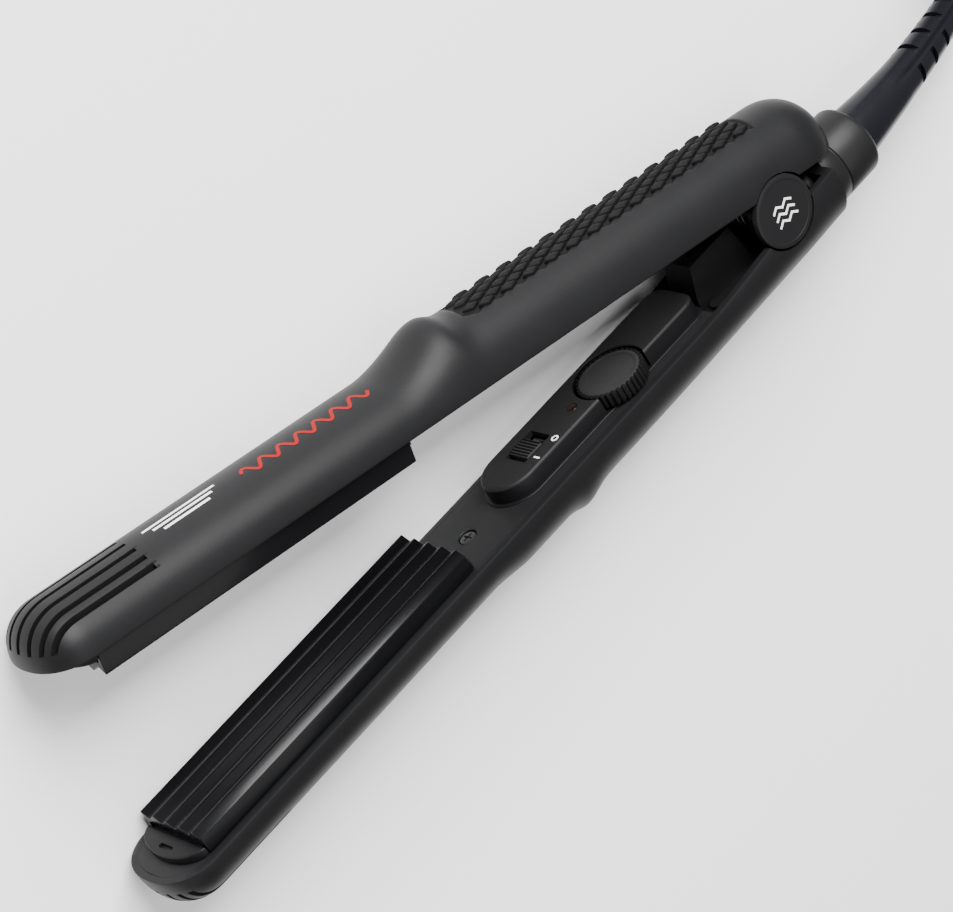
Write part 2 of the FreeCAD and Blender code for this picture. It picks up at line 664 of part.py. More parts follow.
# ---------------------------------------------------------------- cord, coil and plug, in the object frame
COIL_MEAN_RADIUS = 40.0
COIL_ACROSS = 4            # turns side by side
COIL_LAYERS = 2
COIL_OUTER_TURN = COIL_MEAN_RADIUS + (COIL_ACROSS - 1) * CORD_RADIUS
COIL_X = -232.0
COIL_Y = HINGE_Y - COLLAR_Z - COIL_OUTER_TURN
TIE_WIDTH = 12.0
TIE_THICK = 1.3
TIE_ANGLE = 200.0          # where the tie sits on the coil
END_HEADING = -6.0         # direction in which the cord leaves the coil for the plug
PLUG_BODY_LENGTH = 32.0
PLUG_HALF_WIDTH = 17.6
PLUG_HALF_HEIGHT = 6.85
PLUG_SLEEVE_LENGTH = 12.0
PIN_SPACING = 18.6
PLUG_PIN_RADIUS = 2.0
PLUG_PIN_LENGTH = 19.0


def cord_tube(points, name):
    """Straight runs joined by tangent arcs; prints each arc's radius and the length."""
    edges = []
    start = points[0]
    length = 0.0
    for before, corner, after in zip(points, points[1:], points[2:]):
        into = corner - before
        out = after - corner
        turn = into.getAngle(out)
        reach = 0.45 * min(into.Length, out.Length)
        radius = reach / math.tan(turn / 2)
        print(name, "radius", round(radius, 1), "turn", round(math.degrees(turn), 1))
        into.normalize()
        out.normalize()
        enter = corner - into * reach
        leave = corner + out * reach
        towards = (out - into).normalize()
        centre = corner + towards * (radius / math.cos(turn / 2))
        middle = centre - towards * radius
        edges.append(Part.LineSegment(start, enter).toShape())
        edges.append(Part.Arc(enter, middle, leave).toShape())
        length += (enter - start).Length + radius * turn
        start = leave
    edges.append(Part.LineSegment(start, points[-1]).toShape())
    length += (points[-1] - start).Length
    path = Part.Wire(edges)
    circle = Part.Wire(Part.makeCircle(CORD_RADIUS, points[0], points[1] - points[0]))
    tube = path.makePipeShell([circle], True, False)
    print(name, "length", round(length, 1), "volume ratio",
          round(tube.Volume / (math.pi * CORD_RADIUS ** 2 * length), 4))
    return tube


def turned_to(shape, place, heading):
    """Turn a shape about +z by heading degrees and carry its origin to place."""
    placed = shape.copy()
    placed.rotate(V(0, 0, 0), V(0, 0, 1), heading)
    placed.translate(place)
    return placed


def make_coil():
    inner = COIL_MEAN_RADIUS - COIL_ACROSS * CORD_RADIUS
    outer = COIL_MEAN_RADIUS + COIL_ACROSS * CORD_RADIUS
    height = COIL_LAYERS * 2 * CORD_RADIUS
    ring = Part.makeCylinder(outer, height).cut(Part.makeCylinder(inner, height))
    half = TIE_WIDTH / 2
    strap = box(inner - TIE_THICK, outer + TIE_THICK, -half, half, 0, height + TIE_THICK)
    strap = strap.cut(box(inner, outer, -half, half, TIE_THICK, height))
    centre = V(COIL_X, COIL_Y, 0)
    tie = turned_to(strap, centre, TIE_ANGLE)
    ring.translate(centre)
    NODES["cord_coil"] = ring.cut(tie)
    NODES["coil_tie"] = tie


def make_cord():
    end, direction = relief_point(RELIEF_LENGTH)
    floor = CORD_RADIUS
    floor_x = end.x - (end.z - floor) / math.tan(math.radians(RELIEF_DROOP))
    bend_x = (floor_x + COIL_X) / 2
    lead = [end, V(floor_x, end.y, floor), V(bend_x, end.y + 0.4, floor), V(COIL_X, end.y, floor)]
    NODES["cord_lead"] = cord_tube(lead, "cord_lead")
    make_coil()

    heading = math.radians(END_HEADING)
    along = V(math.cos(heading), math.sin(heading), 0)
    across = V(-along.y, along.x, 0)
    leave = V(COIL_X, COIL_Y, (2 * COIL_LAYERS - 1) * CORD_RADIUS) - across * COIL_OUTER_TURN
    drop = PLUG_HALF_HEIGHT - leave.z
    route = ((0.0, 0.0, 0.0), (9.0, 0.1, 0.02), (19.0, -0.2, 0.36), (29.0, 0.1, 0.88), (38.0, 0.0, 1.0))
    points = [leave + along * ahead + across * aside + V(0, 0, drop * fall) for ahead, aside, fall in route]
    NODES["cord_end"] = cord_tube(points, "cord_end")
    make_plug(points[-1])


def make_plug(entry):
    """Flat two-pin plug, drawn along +x from the cord's entry and turned to the cord's heading."""
    half = PLUG_HALF_WIDTH
    shoulder = PLUG_SLEEVE_LENGTH + 6.0
    face = PLUG_SLEEVE_LENGTH + PLUG_BODY_LENGTH
    waist = PLUG_HALF_HEIGHT
    outline = [V(PLUG_SLEEVE_LENGTH, -waist, 0), V(shoulder, -half, 0), V(face, -half, 0),
               V(face, half, 0), V(shoulder, half, 0), V(PLUG_SLEEVE_LENGTH, waist, 0)]
    body = extrude_polygon(outline, V(0, 0, 2 * PLUG_HALF_HEIGHT))
    body.translate(V(0, 0, -PLUG_HALF_HEIGHT))
    upright = [edge for edge in body.Edges if abs(edge.tangentAt(edge.FirstParameter).z) > 0.9]
    body = body.makeFillet(4.0, [edge for edge in upright if edge.Vertexes[0].Point.x > shoulder - 1])
    sleeve = Part.makeCone(CORD_RADIUS + 1.2, 5.6, PLUG_SLEEVE_LENGTH + 1, V(0, 0, 0), V(1, 0, 0))
    pins = []
    for side in (-0.5, 0.5):
        y = side * PIN_SPACING
        root = rod((face - 5.0, y, 0), (face, y, 0), PLUG_PIN_RADIUS - 0.5)
        pins.append(root.fuse(rod((face, y, 0), (face + PLUG_PIN_LENGTH, y, 0), PLUG_PIN_RADIUS)))
        print("plug pin root", turned_to(Part.Vertex(face, y, 0), entry, END_HEADING).Point)
    body = body.fuse(sleeve).removeSplitter().cut(group(pins))
    NODES["plug_body"] = turned_to(body, entry, END_HEADING)
    NODES["plug_pins"] = turned_to(group(pins), entry, END_HEADING)


def main():
    make_shells()
    make_lower_cover()
    make_upper_cover()
    make_cover_screws()
    make_plates()
    make_controls()
    make_hinge()
    make_swivel()
    make_relief()
    make_cord()
    rigid = FreeCAD.BoundBox()
    for name, shape in NODES.items():
        shape.exportStep("parts/" + name + ".step")
        if name.split("_")[0] not in ("cord", "coil", "plug", "strain"):
            rigid.add(shape.BoundBox)
        print(name, "valid", shape.isValid(), "solids", len(shape.Solids), "volume", round(shape.Volume, 1))
    print("object box", rigid)


main()
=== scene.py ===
import json
import math

import bmesh
import bpy
from mathutils import Matrix, Vector


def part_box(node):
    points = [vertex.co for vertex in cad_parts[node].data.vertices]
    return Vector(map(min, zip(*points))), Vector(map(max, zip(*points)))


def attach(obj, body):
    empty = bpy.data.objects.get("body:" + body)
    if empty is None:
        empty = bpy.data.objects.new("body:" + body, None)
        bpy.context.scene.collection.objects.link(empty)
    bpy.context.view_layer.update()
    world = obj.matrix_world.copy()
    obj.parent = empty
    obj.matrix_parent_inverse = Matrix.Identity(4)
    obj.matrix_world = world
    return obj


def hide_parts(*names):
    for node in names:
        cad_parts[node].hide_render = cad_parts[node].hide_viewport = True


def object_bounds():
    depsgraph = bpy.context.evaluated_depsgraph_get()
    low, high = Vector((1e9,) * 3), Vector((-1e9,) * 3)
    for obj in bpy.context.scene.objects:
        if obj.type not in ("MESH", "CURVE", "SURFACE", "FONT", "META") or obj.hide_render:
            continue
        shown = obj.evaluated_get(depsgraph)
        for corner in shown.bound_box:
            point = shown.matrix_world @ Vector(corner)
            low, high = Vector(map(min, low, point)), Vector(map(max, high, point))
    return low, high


# Hair crimper, looks. Every rigid piece is drawn in its own arm's frame, in millimetres: the origin is on
# the hinge axis, +x runs to the tip, +y to the side with the marked pivot cap, and +z from the lower arm to
# the upper arm. finish_piece() carries it into the row frame, in metres, where the object lies on its far
# side. The strain relief, cord, tie and plug are drawn in the row frame itself, in millimetres.

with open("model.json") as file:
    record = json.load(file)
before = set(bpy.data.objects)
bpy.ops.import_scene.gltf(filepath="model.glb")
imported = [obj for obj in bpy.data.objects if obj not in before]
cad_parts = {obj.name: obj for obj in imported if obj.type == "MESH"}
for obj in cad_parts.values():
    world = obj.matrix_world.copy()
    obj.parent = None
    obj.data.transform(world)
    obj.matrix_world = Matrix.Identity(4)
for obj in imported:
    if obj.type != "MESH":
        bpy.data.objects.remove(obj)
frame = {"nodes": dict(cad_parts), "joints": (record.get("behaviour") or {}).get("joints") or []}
cad_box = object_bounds()

MM = 0.001
HALF_WIDTH = 14.5
TIP_X = 237.8
NOSE_ROUND = 12.5
WALL = 1.9
OPEN_ANGLE = math.radians(12.5)
BELT = 0.6

LOWER_RIM = 6.8
LOWER_HANDLE_DEPTH = 22.2
LOWER_HEATER_DEPTH = 20.3
LOWER_TAIL_DEPTH = 20.6
LOWER_TAIL_X = -20.0
LOWER_TAIL_RISE = 4.3
LOWER_HUMP_X = 88.5
LOWER_HUMP = 2.1

UPPER_RIM = 6.3
UPPER_HANDLE_DEPTH = 22.6
UPPER_HEATER_DEPTH = 18.9
UPPER_TAIL_ROUND = 15.0
UPPER_TAIL_X = -12.0
UPPER_HUMP_X = 105.5
UPPER_HUMP = 2.4

PLATE_X0 = 127.8
PLATE_X1 = 225.0
PLATE_HALF_WIDTH = 12.4
CRIMP_PITCH = 5.5
CRIMP_DEPTH = 1.9

COLLAR_Z = -8.9
CAP_RADIUS = 9.8
CAP_GAP = 0.5
CAP_DISH = 0.12

hinge = [joint for joint in frame["joints"] if joint["name"] == "arm_hinge"][0]
HINGE = Vector(hinge["pos_m"])
HINGE.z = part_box("hinge_pin")[0].z / 2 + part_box("hinge_pin")[1].z / 2
ROW = Matrix.Scale(MM, 4)


# ---------------- placing and small mesh helpers
def turned(degrees, axis):
    return Matrix.Rotation(math.radians(degrees), 4, axis)


def arm_matrix(upper):
    """From millimetres in an arm's frame to metres in the row frame."""
    lift = Matrix.Rotation(-OPEN_ANGLE if upper else 0.0, 4, "Y")
    return Matrix.Translation(HINGE) @ turned(90, "X") @ ROW @ lift


LOWER = arm_matrix(False)
UPPER = arm_matrix(True)


def linked(name, data):
    obj = bpy.data.objects.new(name, data)
    bpy.context.scene.collection.objects.link(obj)
    return obj


def new_object(name, verts, faces):
    mesh = bpy.data.meshes.new(name)
    mesh.from_pydata([tuple(v) for v in verts], [], faces)
    mesh.update()
    return linked(name, mesh)


def clean(obj, distance=0.0005):
    """Merge doubles, drop flat faces and point every face outwards."""
    bm = bmesh.new()
    bm.from_mesh(obj.data)
    bmesh.ops.remove_doubles(bm, verts=bm.verts, dist=distance)
    bmesh.ops.dissolve_degenerate(bm, edges=bm.edges, dist=distance)
    bmesh.ops.recalc_face_normals(bm, faces=bm.faces)
    bm.to_mesh(obj.data)
    bm.free()
    return obj


def shade(obj, degrees=30.0):
    """Smooth shading with sharp edges where faces meet at more than the given angle."""
    bm = bmesh.new()
    bm.from_mesh(obj.data)
    limit = math.radians(degrees)
    for face in bm.faces:
        face.smooth = True
    for edge in bm.edges:
        edge.smooth = len(edge.link_faces) == 2 and edge.calc_face_angle(0.0) < limit
    bm.to_mesh(obj.data)
    bm.free()
    return obj


def baked(obj):
    """Apply every modifier on obj, leaving a plain mesh."""
    depsgraph = bpy.context.evaluated_depsgraph_get()
    mesh = bpy.data.meshes.new_from_object(obj.evaluated_get(depsgraph))
    obj.modifiers.clear()
    old = obj.data
    obj.data = mesh
    bpy.data.meshes.remove(old)
    return obj


def boolean(obj, cutters, operation="DIFFERENCE"):
    for cutter in cutters:
        change = obj.modifiers.new("cut", "BOOLEAN")
        change.operation = operation
        change.solver = "EXACT"
        change.object = cutter
        baked(obj)
        bpy.data.objects.remove(cutter)
    return obj


def grid_faces(rows, columns, closed=False):
    """Quads of a grid of points listed row by row; closed joins the last column to the first."""
    faces = []
    wrap = columns if closed else columns - 1
    for i in range(rows - 1):
        for j in range(wrap):
            a = i * columns + j
            b = i * columns + (j + 1) % columns
            faces.append((a, b, b + columns, a + columns))
    return faces


def loft(name, rings):
    """A closed solid through closed rings with equal numbers of points, with an end face at each end."""
    count = len(rings[0])
    verts = [point for ring in rings for point in ring]
    faces = grid_faces(len(rings), count, closed=True)
    faces.append(tuple(range(count)))
    faces.append(tuple(range((len(rings) - 1) * count, len(rings) * count)))
    return clean(new_object(name, verts, faces))


def block(name, low, high):
    """A box between two corners."""
    ring = [(low[0], low[1]), (high[0], low[1]), (high[0], high[1]), (low[0], high[1])]
    return loft(name, [[(x, y, z) for x, y in ring] for z in (low[2], high[2])])


def lathe(name, profile, centre=(0, 0, 0), axis="Z", segments=96):
    """Solid of revolution; profile is a list of (radius, height along the axis)."""
    turn = {"X": turned(90, "Y"), "Y": turned(-90, "X"), "Z": Matrix.Identity(4)}[axis]
    rings = []
    for radius, height in profile:
        ring = []
        for i in range(segments):
            a = 2 * math.pi * i / segments
            ring.append(Vector(centre) + turn @ Vector((radius * math.cos(a), radius * math.sin(a), height)))
        rings.append(ring)
    return loft(name, rings)


def smooth(x, low, high):
    t = min(1.0, max(0.0, (x - low) / (high - low)))
    return t * t * (3.0 - 2.0 * t)


def bump(x, centre, rear, front):
    reach = rear if x < centre else front
    return math.exp(-((x - centre) / reach) ** 2)


def finish_piece(obj, matrix, body, material, slot, *nodes):
    """Faces with a material index above 0, which are the ones given painted shade and the repeats, take the
    second material, which paints shade."""
    obj.data.transform(matrix)
    obj.data.update()
    kept = [face.material_index for face in obj.data.polygons]
    obj.data.materials.clear()
    obj.data.materials.append(material)
    if any(kept):
        obj.data.materials.append(SECOND_MATERIAL.get(slot, GROOVE_SHADE))
        obj.data.polygons.foreach_set("material_index", kept)
    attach(obj, body)
    if nodes:
        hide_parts(*nodes)
    return obj


# ---------------- materials
def surface(name, base, roughness, grain=1400.0, relief=0.12, mottle=0.1, metallic=0.0, coat=0.0, streak=1.0,
            specular=0.13):
    """Principled material: fine grain in the relief, and a slow mottle in colour and roughness.
    streak above 1 stretches the pattern along X, as on drawn or rolled metal."""
    mat = bpy.data.materials.new(name)
    mat.use_nodes = True
    nodes = mat.node_tree.nodes
    link = mat.node_tree.links.new
    shader = nodes["Principled BSDF"]
    shader.inputs["Metallic"].default_value = metallic
    shader.inputs["Specular IOR Level"].default_value = specular
    shader.inputs["Coat Weight"].default_value = coat
    shader.inputs["Coat Roughness"].default_value = 0.12
    place = nodes.new("ShaderNodeTexCoord")
    stretch = nodes.new("ShaderNodeMapping")
    stretch.inputs["Scale"].default_value = (1.0 / streak, 1.0, 1.0)
    link(place.outputs["Object"], stretch.inputs["Vector"])
    slow, fine = nodes.new("ShaderNodeTexNoise"), nodes.new("ShaderNodeTexNoise")
    for noise, scale, detail in ((slow, grain / 16.0, 4.0), (fine, grain, 3.0)):
        noise.inputs["Scale"].default_value = scale
        noise.inputs["Detail"].default_value = detail
        link(stretch.outputs["Vector"], noise.inputs["Vector"])
    colour = nodes.new("ShaderNodeMixRGB")
    colour.inputs[1].default_value = (*[c * (1.0 - mottle) for c in base], 1.0)
    colour.inputs[2].default_value = (*[c * (1.0 + mottle) for c in base], 1.0)
    link(slow.outputs["Fac"], colour.inputs[0])
    link(colour.outputs["Color"], shader.inputs["Base Color"])
    gloss = nodes.new("ShaderNodeMapRange")
    gloss.inputs["To Min"].default_value = max(0.02, roughness - 0.06)
    gloss.inputs["To Max"].default_value = min(1.0, roughness + 0.06)
    link(slow.outputs["Fac"], gloss.inputs["Value"])
    link(gloss.outputs["Result"], shader.inputs["Roughness"])
    relief_node = nodes.new("ShaderNodeBump")
    relief_node.inputs["Strength"].default_value = relief
    relief_node.inputs["Distance"].default_value = 0.0001
    link(fine.outputs["Fac"], relief_node.inputs["Height"])
    link(relief_node.outputs["Normal"], shader.inputs["Normal"])
    return mat


SOFT_TOUCH = surface("charcoal_soft_touch", (0.006, 0.006, 0.0065), 0.45, relief=0.22)
# Near-black material that paints the shade in the vent grooves and in the seat between the grip diamonds.
GROOVE_SHADE = surface("groove_black", (0.0015, 0.0015, 0.0015), 0.7, relief=0.1)
COVER = surface("cover_black", (0.0075, 0.0075, 0.008), 0.50, relief=0.25)
# The carriers' own black, also put on the pod's side walls as painted shade.
CARRIER_BLACK_AND_POD_SHADE = surface("carrier_black", (0.004, 0.004, 0.0045), 0.42, relief=0.2)
PLATE = surface("black_plate_glaze", (0.002, 0.002, 0.0025), 0.26, grain=2600.0, relief=0.05, coat=0.06,
                streak=6.0)
DIAL = surface("dial_black", (0.017, 0.017, 0.017), 0.44, relief=0.2)
SLIDER = surface("slider_grey", (0.022, 0.022, 0.023), 0.42, relief=0.15)
CAP = surface("cap_grey", (0.008, 0.008, 0.0085), 0.38, relief=0.12)
HINGE_BLACK = surface("hinge_black", (0.004, 0.004, 0.004), 0.32, relief=0.15)
COLLAR = surface("collar_black", (0.008, 0.008, 0.008), 0.40, relief=0.18)
RELIEF = surface("relief_rubber", (0.006, 0.006, 0.008), 0.26, relief=0.1)
CORD = surface("cord_jacket", (0.015, 0.015, 0.016), 0.34, grain=900.0, relief=0.15)
PLUG = surface("plug_rubber", (0.020, 0.020, 0.021), 0.38, relief=0.15)
TIE = surface("tie_rubber", (0.03, 0.03, 0.03), 0.5, grain=500.0, relief=0.3)
LENS = surface("indicator_lens_red", (0.010, 0.002, 0.002), 0.14, relief=0.02)
LED = surface("led_red", (0.5, 0.04, 0.03), 0.2, relief=0.02)
SCREW = surface("screw_black_steel", (0.05, 0.05, 0.052), 0.32, relief=0.1, metallic=0.8)
STEEL = surface("spring_steel", (0.42, 0.42, 0.43), 0.28, relief=0.08, metallic=1.0, streak=4.0)
BRASS = surface("brass", (0.70, 0.52, 0.24), 0.25, relief=0.06, metallic=1.0, streak=4.0)
NICKEL = surface("pin_nickel", (0.66, 0.65, 0.62), 0.22, relief=0.05, metallic=1.0, streak=5.0)
NYLON = surface("bush_nylon", (0.62, 0.60, 0.55), 0.42, relief=0.1)
CERAMIC = surface("heater_ceramic", (0.74, 0.72, 0.68), 0.6, relief=0.3)
MICA = surface("mica_sheet", (0.50, 0.43, 0.29), 0.35, grain=700.0, relief=0.2, mottle=0.3)
BOARD = surface("board_green", (0.03, 0.16, 0.07), 0.35, relief=0.05)
COMPONENT = surface("component_black", (0.06, 0.06, 0.07), 0.4, relief=0.15)
SLEEVE = surface("glass_fibre_sleeve", (0.62, 0.62, 0.58), 0.7, grain=2400.0, relief=0.5)
MARK_WHITE = surface("mark_white", (0.72, 0.72, 0.71), 0.45, relief=0.05, mottle=0.03)
MARK_RED = surface("mark_red", (0.20, 0.0015, 0.001), 0.5, relief=0.05, mottle=0.05)

# Second materials paint shade: on the pod's side walls for the cover, and in the grooves by default.
SECOND_MATERIAL = {"cover_black": CARRIER_BLACK_AND_POD_SHADE}

KEPT_NODES = (
    (LED, "indicator_led"),
    (STEEL, "hinge_pin lower_plate_spring upper_plate_spring thermal_fuse"),
    (NYLON, "spring_sleeve hinge_bushes"),
    (BRASS, "slip_rings"),
    (CERAMIC, "lower_heater upper_heater"),
    (MICA, "lower_mica_sheet upper_mica_sheet"),
    (BOARD, "circuit_board"),
    (COMPONENT, "brush_holder potentiometer lower_thermistor upper_thermistor power_switch"),
    (SLEEVE, "mains_leads lower_heater_leads upper_heater_leads"),
    (HINGE_BLACK, "hinge_frame upper_hinge_frame hinge_frame_screws"),
    (SCREW, "torsion_spring"),
)


def paint_kept_nodes():
    """Materials for the nodes that keep their own solids."""
    for material, nodes in KEPT_NODES:
        for node in nodes.split():
            obj = frame["nodes"][node]
            obj.data.materials.clear()
            obj.data.materials.append(material)


# ---------------- arm outlines
def lower_rim(x):
    return -LOWER_RIM + LOWER_TAIL_RISE * smooth(-x, -40.0, -LOWER_TAIL_X)


def lower_face(x):
    handle = LOWER_TAIL_DEPTH + (LOWER_HANDLE_DEPTH - LOWER_TAIL_DEPTH) * smooth(x, -30.0, 70.0)
    depth = handle + (LOWER_HEATER_DEPTH - handle) * smooth(x, 110.0, 125.0)
    return -(depth + LOWER_HUMP * bump(x, LOWER_HUMP_X, 5.0, 4.0))


def lower_width(x):
    return HALF_WIDTH - 0.9 * smooth(-x, 4.0, -LOWER_TAIL_X)


def upper_face(x):
    depth = UPPER_HANDLE_DEPTH + (UPPER_HEATER_DEPTH - UPPER_HANDLE_DEPTH) * smooth(x, 108.0, 126.0)
    return depth + UPPER_HUMP * bump(x, UPPER_HUMP_X, 4.0, 6.5)


def round_off(x, start, length):
    t = min(1.0, max(0.0, (x - start) / length))
    return (1.0 - t ** 2.3) ** (1.0 / 2.3)


def spread(low, high, step):
    count = max(1, round((high - low) / step))
    return [low + (high - low) * i / count for i in range(count)]


def rounding_steps(count):
    """Fractions of a rounded end, close together where it turns in."""
    return [math.sin(math.pi / 2 * i / count) for i in range(count + 1)]


NOSE_START = TIP_X - NOSE_ROUND
RIM_EDGE = 0.35


def nose_stations(inset, count=26):
    return [NOSE_START + (NOSE_ROUND - inset) * t for t in rounding_steps(count)]


def outline(x, inset, upper):
    """Half width, belt height, face height and rim height of an arm at x, moved in by inset."""
    nose = round_off(x, NOSE_START, NOSE_ROUND - inset)
    if upper:
        keep = nose * round_off(-x, -UPPER_TAIL_X, UPPER_TAIL_ROUND - inset)
        belt = UPPER_RIM + BELT
        return (HALF_WIDTH - inset) * keep, belt, belt + (upper_face(x) - inset - belt) * keep, UPPER_RIM
    belt = -LOWER_RIM - BELT
    return (lower_width(x) - inset) * nose, belt, belt + (lower_face(x) + inset - belt) * nose, lower_rim(x)


GRIP_PITCH = 7.5
GRIP_ROW = 1.75
GRIP_ROWS = 7
GRIP_COLUMNS = 13
GRIP_START = -1.0
GRIP_RADIUS = 15.1
GRIP_SINK = 0.5
GRIP_SIDE = 8.2


def grip_sink(x, around):
    """Depth of the seat under the grip diamonds: its zigzag edge follows the outer row."""
    phase = ((x - GRIP_START) / GRIP_PITCH) % 1.0
    edge = (GRIP_ROWS + 1) / 2 * GRIP_ROW + 0.2 - abs(2.0 * phase - 1.0) * GRIP_ROW
    inside = smooth(edge - abs(around), -0.1, 0.45)
    last = GRIP_START + (GRIP_COLUMNS - 0.5) * GRIP_PITCH
    ends = smooth(x, GRIP_START - 4.2, GRIP_START - 3.6) * (1.0 - smooth(x, last + 3.6, last + 4.2))
    return GRIP_SINK * inside * ends


def shell_column(x, half, belt, face, rim, angles, grip):
    """Points of an arm's outer skin at x, from the near rim round to the far rim."""
    up = 1.0 if face > rim else -1.0
    edge = min(RIM_EDGE, half)
    points = [(x, half - edge, rim), (x, half - 0.3 * edge, rim + up * 0.3 * edge),
              (x, half, rim + up * edge)]
    for a in angles:
        sink = grip_sink(x, GRIP_RADIUS * (math.pi / 2 - a)) if grip else 0.0
        points.append((x, (half - sink * abs(math.cos(a))) * math.cos(a),
                       belt + (face - belt - up * sink) * math.sin(a)))
    return points + [(x, -y, z) for x, y, z in reversed(points[:3])]


def shell(name, upper, stations, angles, closed_tail):
    """Hollow arm shell. stations(inset) lists the x of every station for a skin moved in by inset."""
    outer = [shell_column(x, *outline(x, 0.0, upper), angles, upper) for x in stations(0.0)]
    inner = [shell_column(x, *outline(x, WALL, upper), angles, False) for x in stations(WALL)]
    count = len(outer[0])
    offset = len(outer) * count
    faces = grid_faces(len(outer), count)
    faces += [tuple(offset + i for i in reversed(face)) for face in grid_faces(len(inner), count)]
    for side in (0, count - 1):
        for i in range(len(outer) - 1):
            a = i * count + side
            faces.append((a, a + count, offset + a + count, offset + a))
    if closed_tail:
        faces.append(tuple(range(count)))
        faces.append(tuple(offset + j for j in range(count)))
        faces.append((0, count - 1, offset + count - 1, offset))
    return clean(new_object(name, [point for row in outer + inner for point in row], faces))


# ---------------- shells
def paint_shade_on(obj, chosen):
    """Give the second material slot, which paints shade, to every face whose centre is chosen."""
    for face in obj.data.polygons:
        if chosen(*face.center):
            face.material_index = 1


VENT_HALF = 0.65
VENT_DEPTH = 1.1
VENT_START = 202.0
VENT_STOP = 4.2
VENT_PLACES = (0.0, 4.1, 7.6, 10.3)


def vent_cutter(y, upper):
    """Slab that cuts one groove over a nose, along the plane y."""
    bottom = []
    sign = 1.0 if upper else -1.0
    for x in spread(VENT_START, NOSE_START, 2.0) + nose_stations(VENT_DEPTH):
        half, belt, face, rim = outline(x, VENT_DEPTH, upper)
        if half <= abs(y):
            break
        z = belt + (face - belt) * math.sqrt(1.0 - (y / half) ** 2)
        stop = rim + sign * VENT_STOP
        if (z - stop) * sign <= 0.0:
            bottom.append((x, stop))
            break
        bottom.append((x, z))
    end_z = bottom[-1][1]
    past_tip = TIP_X + 4.0
    loop = bottom + [(past_tip, end_z), (past_tip, sign * 40.0), (VENT_START, sign * 40.0)]
    return loft("vent_cutter", [[(x, y + side, z) for x, z in loop] for side in (-VENT_HALF, VENT_HALF)])


def vent_cutters(upper):
    """All grooves of one nose as one cutter."""
    places = [side * y for y in VENT_PLACES for side in ((1.0, -1.0) if y else (1.0,))]
    return joined([vent_cutter(y, upper) for y in places])


def joined(objects):
    """One object holding the meshes of several."""
    bm = bmesh.new()
    for obj in objects:
        bm.from_mesh(obj.data)
    mesh = bpy.data.meshes.new(objects[0].name)
    bm.to_mesh(mesh)
    bm.free()
    name = objects[0].name
    for obj in objects:
        bpy.data.objects.remove(obj)
    return linked(name, mesh)


# Vent groove faces: these take the painted shade of the second material.
def in_vent(x, y, z, rim):
    inside = any(abs(abs(y) - place) <= VENT_HALF + 0.01 for place in VENT_PLACES)
    return inside and x >= VENT_START - 0.01 and abs(z) >= rim + VENT_STOP - 0.02


def in_grip(x, y, z):
    """True on the sunk seat between the grip diamonds, which takes painted shade."""
    half, belt, face, rim = outline(x, 0.0, True)
    if z < belt + 1.0 or abs(y) >= half:
        return False
    around = GRIP_RADIUS * math.atan2(y / half, (z - belt) / (face - belt))
    sunk = belt + (face - belt) * math.sqrt(1.0 - (y / half) ** 2) - z
    return grip_sink(x, around) > 0.3 * GRIP_SINK and sunk < 1.0


def hinge_hole():
    radius = CAP_RADIUS + CAP_GAP
    return lathe("hinge_hole", [(0, -20), (radius, -20), (radius, 20), (0, 20)], axis="Y", segments=128)


def make_upper_shell():
    def stations(inset):
        tail = [UPPER_TAIL_X - (UPPER_TAIL_ROUND - inset) * t for t in reversed(rounding_steps(22))]
        body = spread(UPPER_TAIL_X, -6.0, 1.0)[1:] + spread(-6.0, 96.0, 0.34) + spread(96.0, 128.0, 0.8)
        return tail + body + spread(128.0, NOSE_START, 3.0) + nose_stations(inset)

    side = math.pi / 2 - GRIP_SIDE / GRIP_RADIUS
    angles = spread(0.0, side, 0.055) + spread(side, math.pi - side, 0.024)
    angles += spread(math.pi - side, math.pi, 0.055) + [math.pi]
    obj = shell("upper_shell_skin", True, stations, angles, False)
    radius = COLLAR_RADIUS + 0.8
    tail = lathe("tail_clearance", [(0, -45), (radius, -45), (radius, -18), (0, -18)], axis="X")
    tail.data.transform(Matrix.Rotation(OPEN_ANGLE, 4, "Y") @ Matrix.Translation((0, 0, COLLAR_Z)))
    boolean(obj, [vent_cutters(True), hinge_hole(), tail])
    shade(clean(obj), 28.0)
    # The vent grooves and the grip seat take the second material: painted shade.
    paint_shade_on(obj, lambda x, y, z: in_vent(x, y, z, UPPER_RIM) or in_grip(x, y, z))
    return obj


def make_lower_shell():
    hump = 74.0

    def stations(inset):
        start = LOWER_TAIL_X + (3.0 if inset else 0.0)
        squeeze = (hump - start) / (hump - LOWER_TAIL_X)
        body = [start + (x - LOWER_TAIL_X) * squeeze for x in spread(LOWER_TAIL_X, hump, 2.0)]
        return body + spread(hump, 130.0, 0.8) + spread(130.0, NOSE_START, 3.0) + nose_stations(inset)

    obj = shell("lower_shell_skin", False, stations, spread(0.0, math.pi, 0.045) + [math.pi], True)
    radius = NECK_RADIUS + 0.05
    neck = lathe("neck_hole", [(0, -25), (radius, -25), (radius, -15), (0, -15)], (0, 0, COLLAR_Z), "X")
    boolean(obj, [vent_cutters(False), hinge_hole(), neck])
    shade(clean(obj), 28.0)
    # The vent grooves take the second material: painted shade.
    paint_shade_on(obj, lambda x, y, z: in_vent(x, y, z, LOWER_RIM))
    return obj


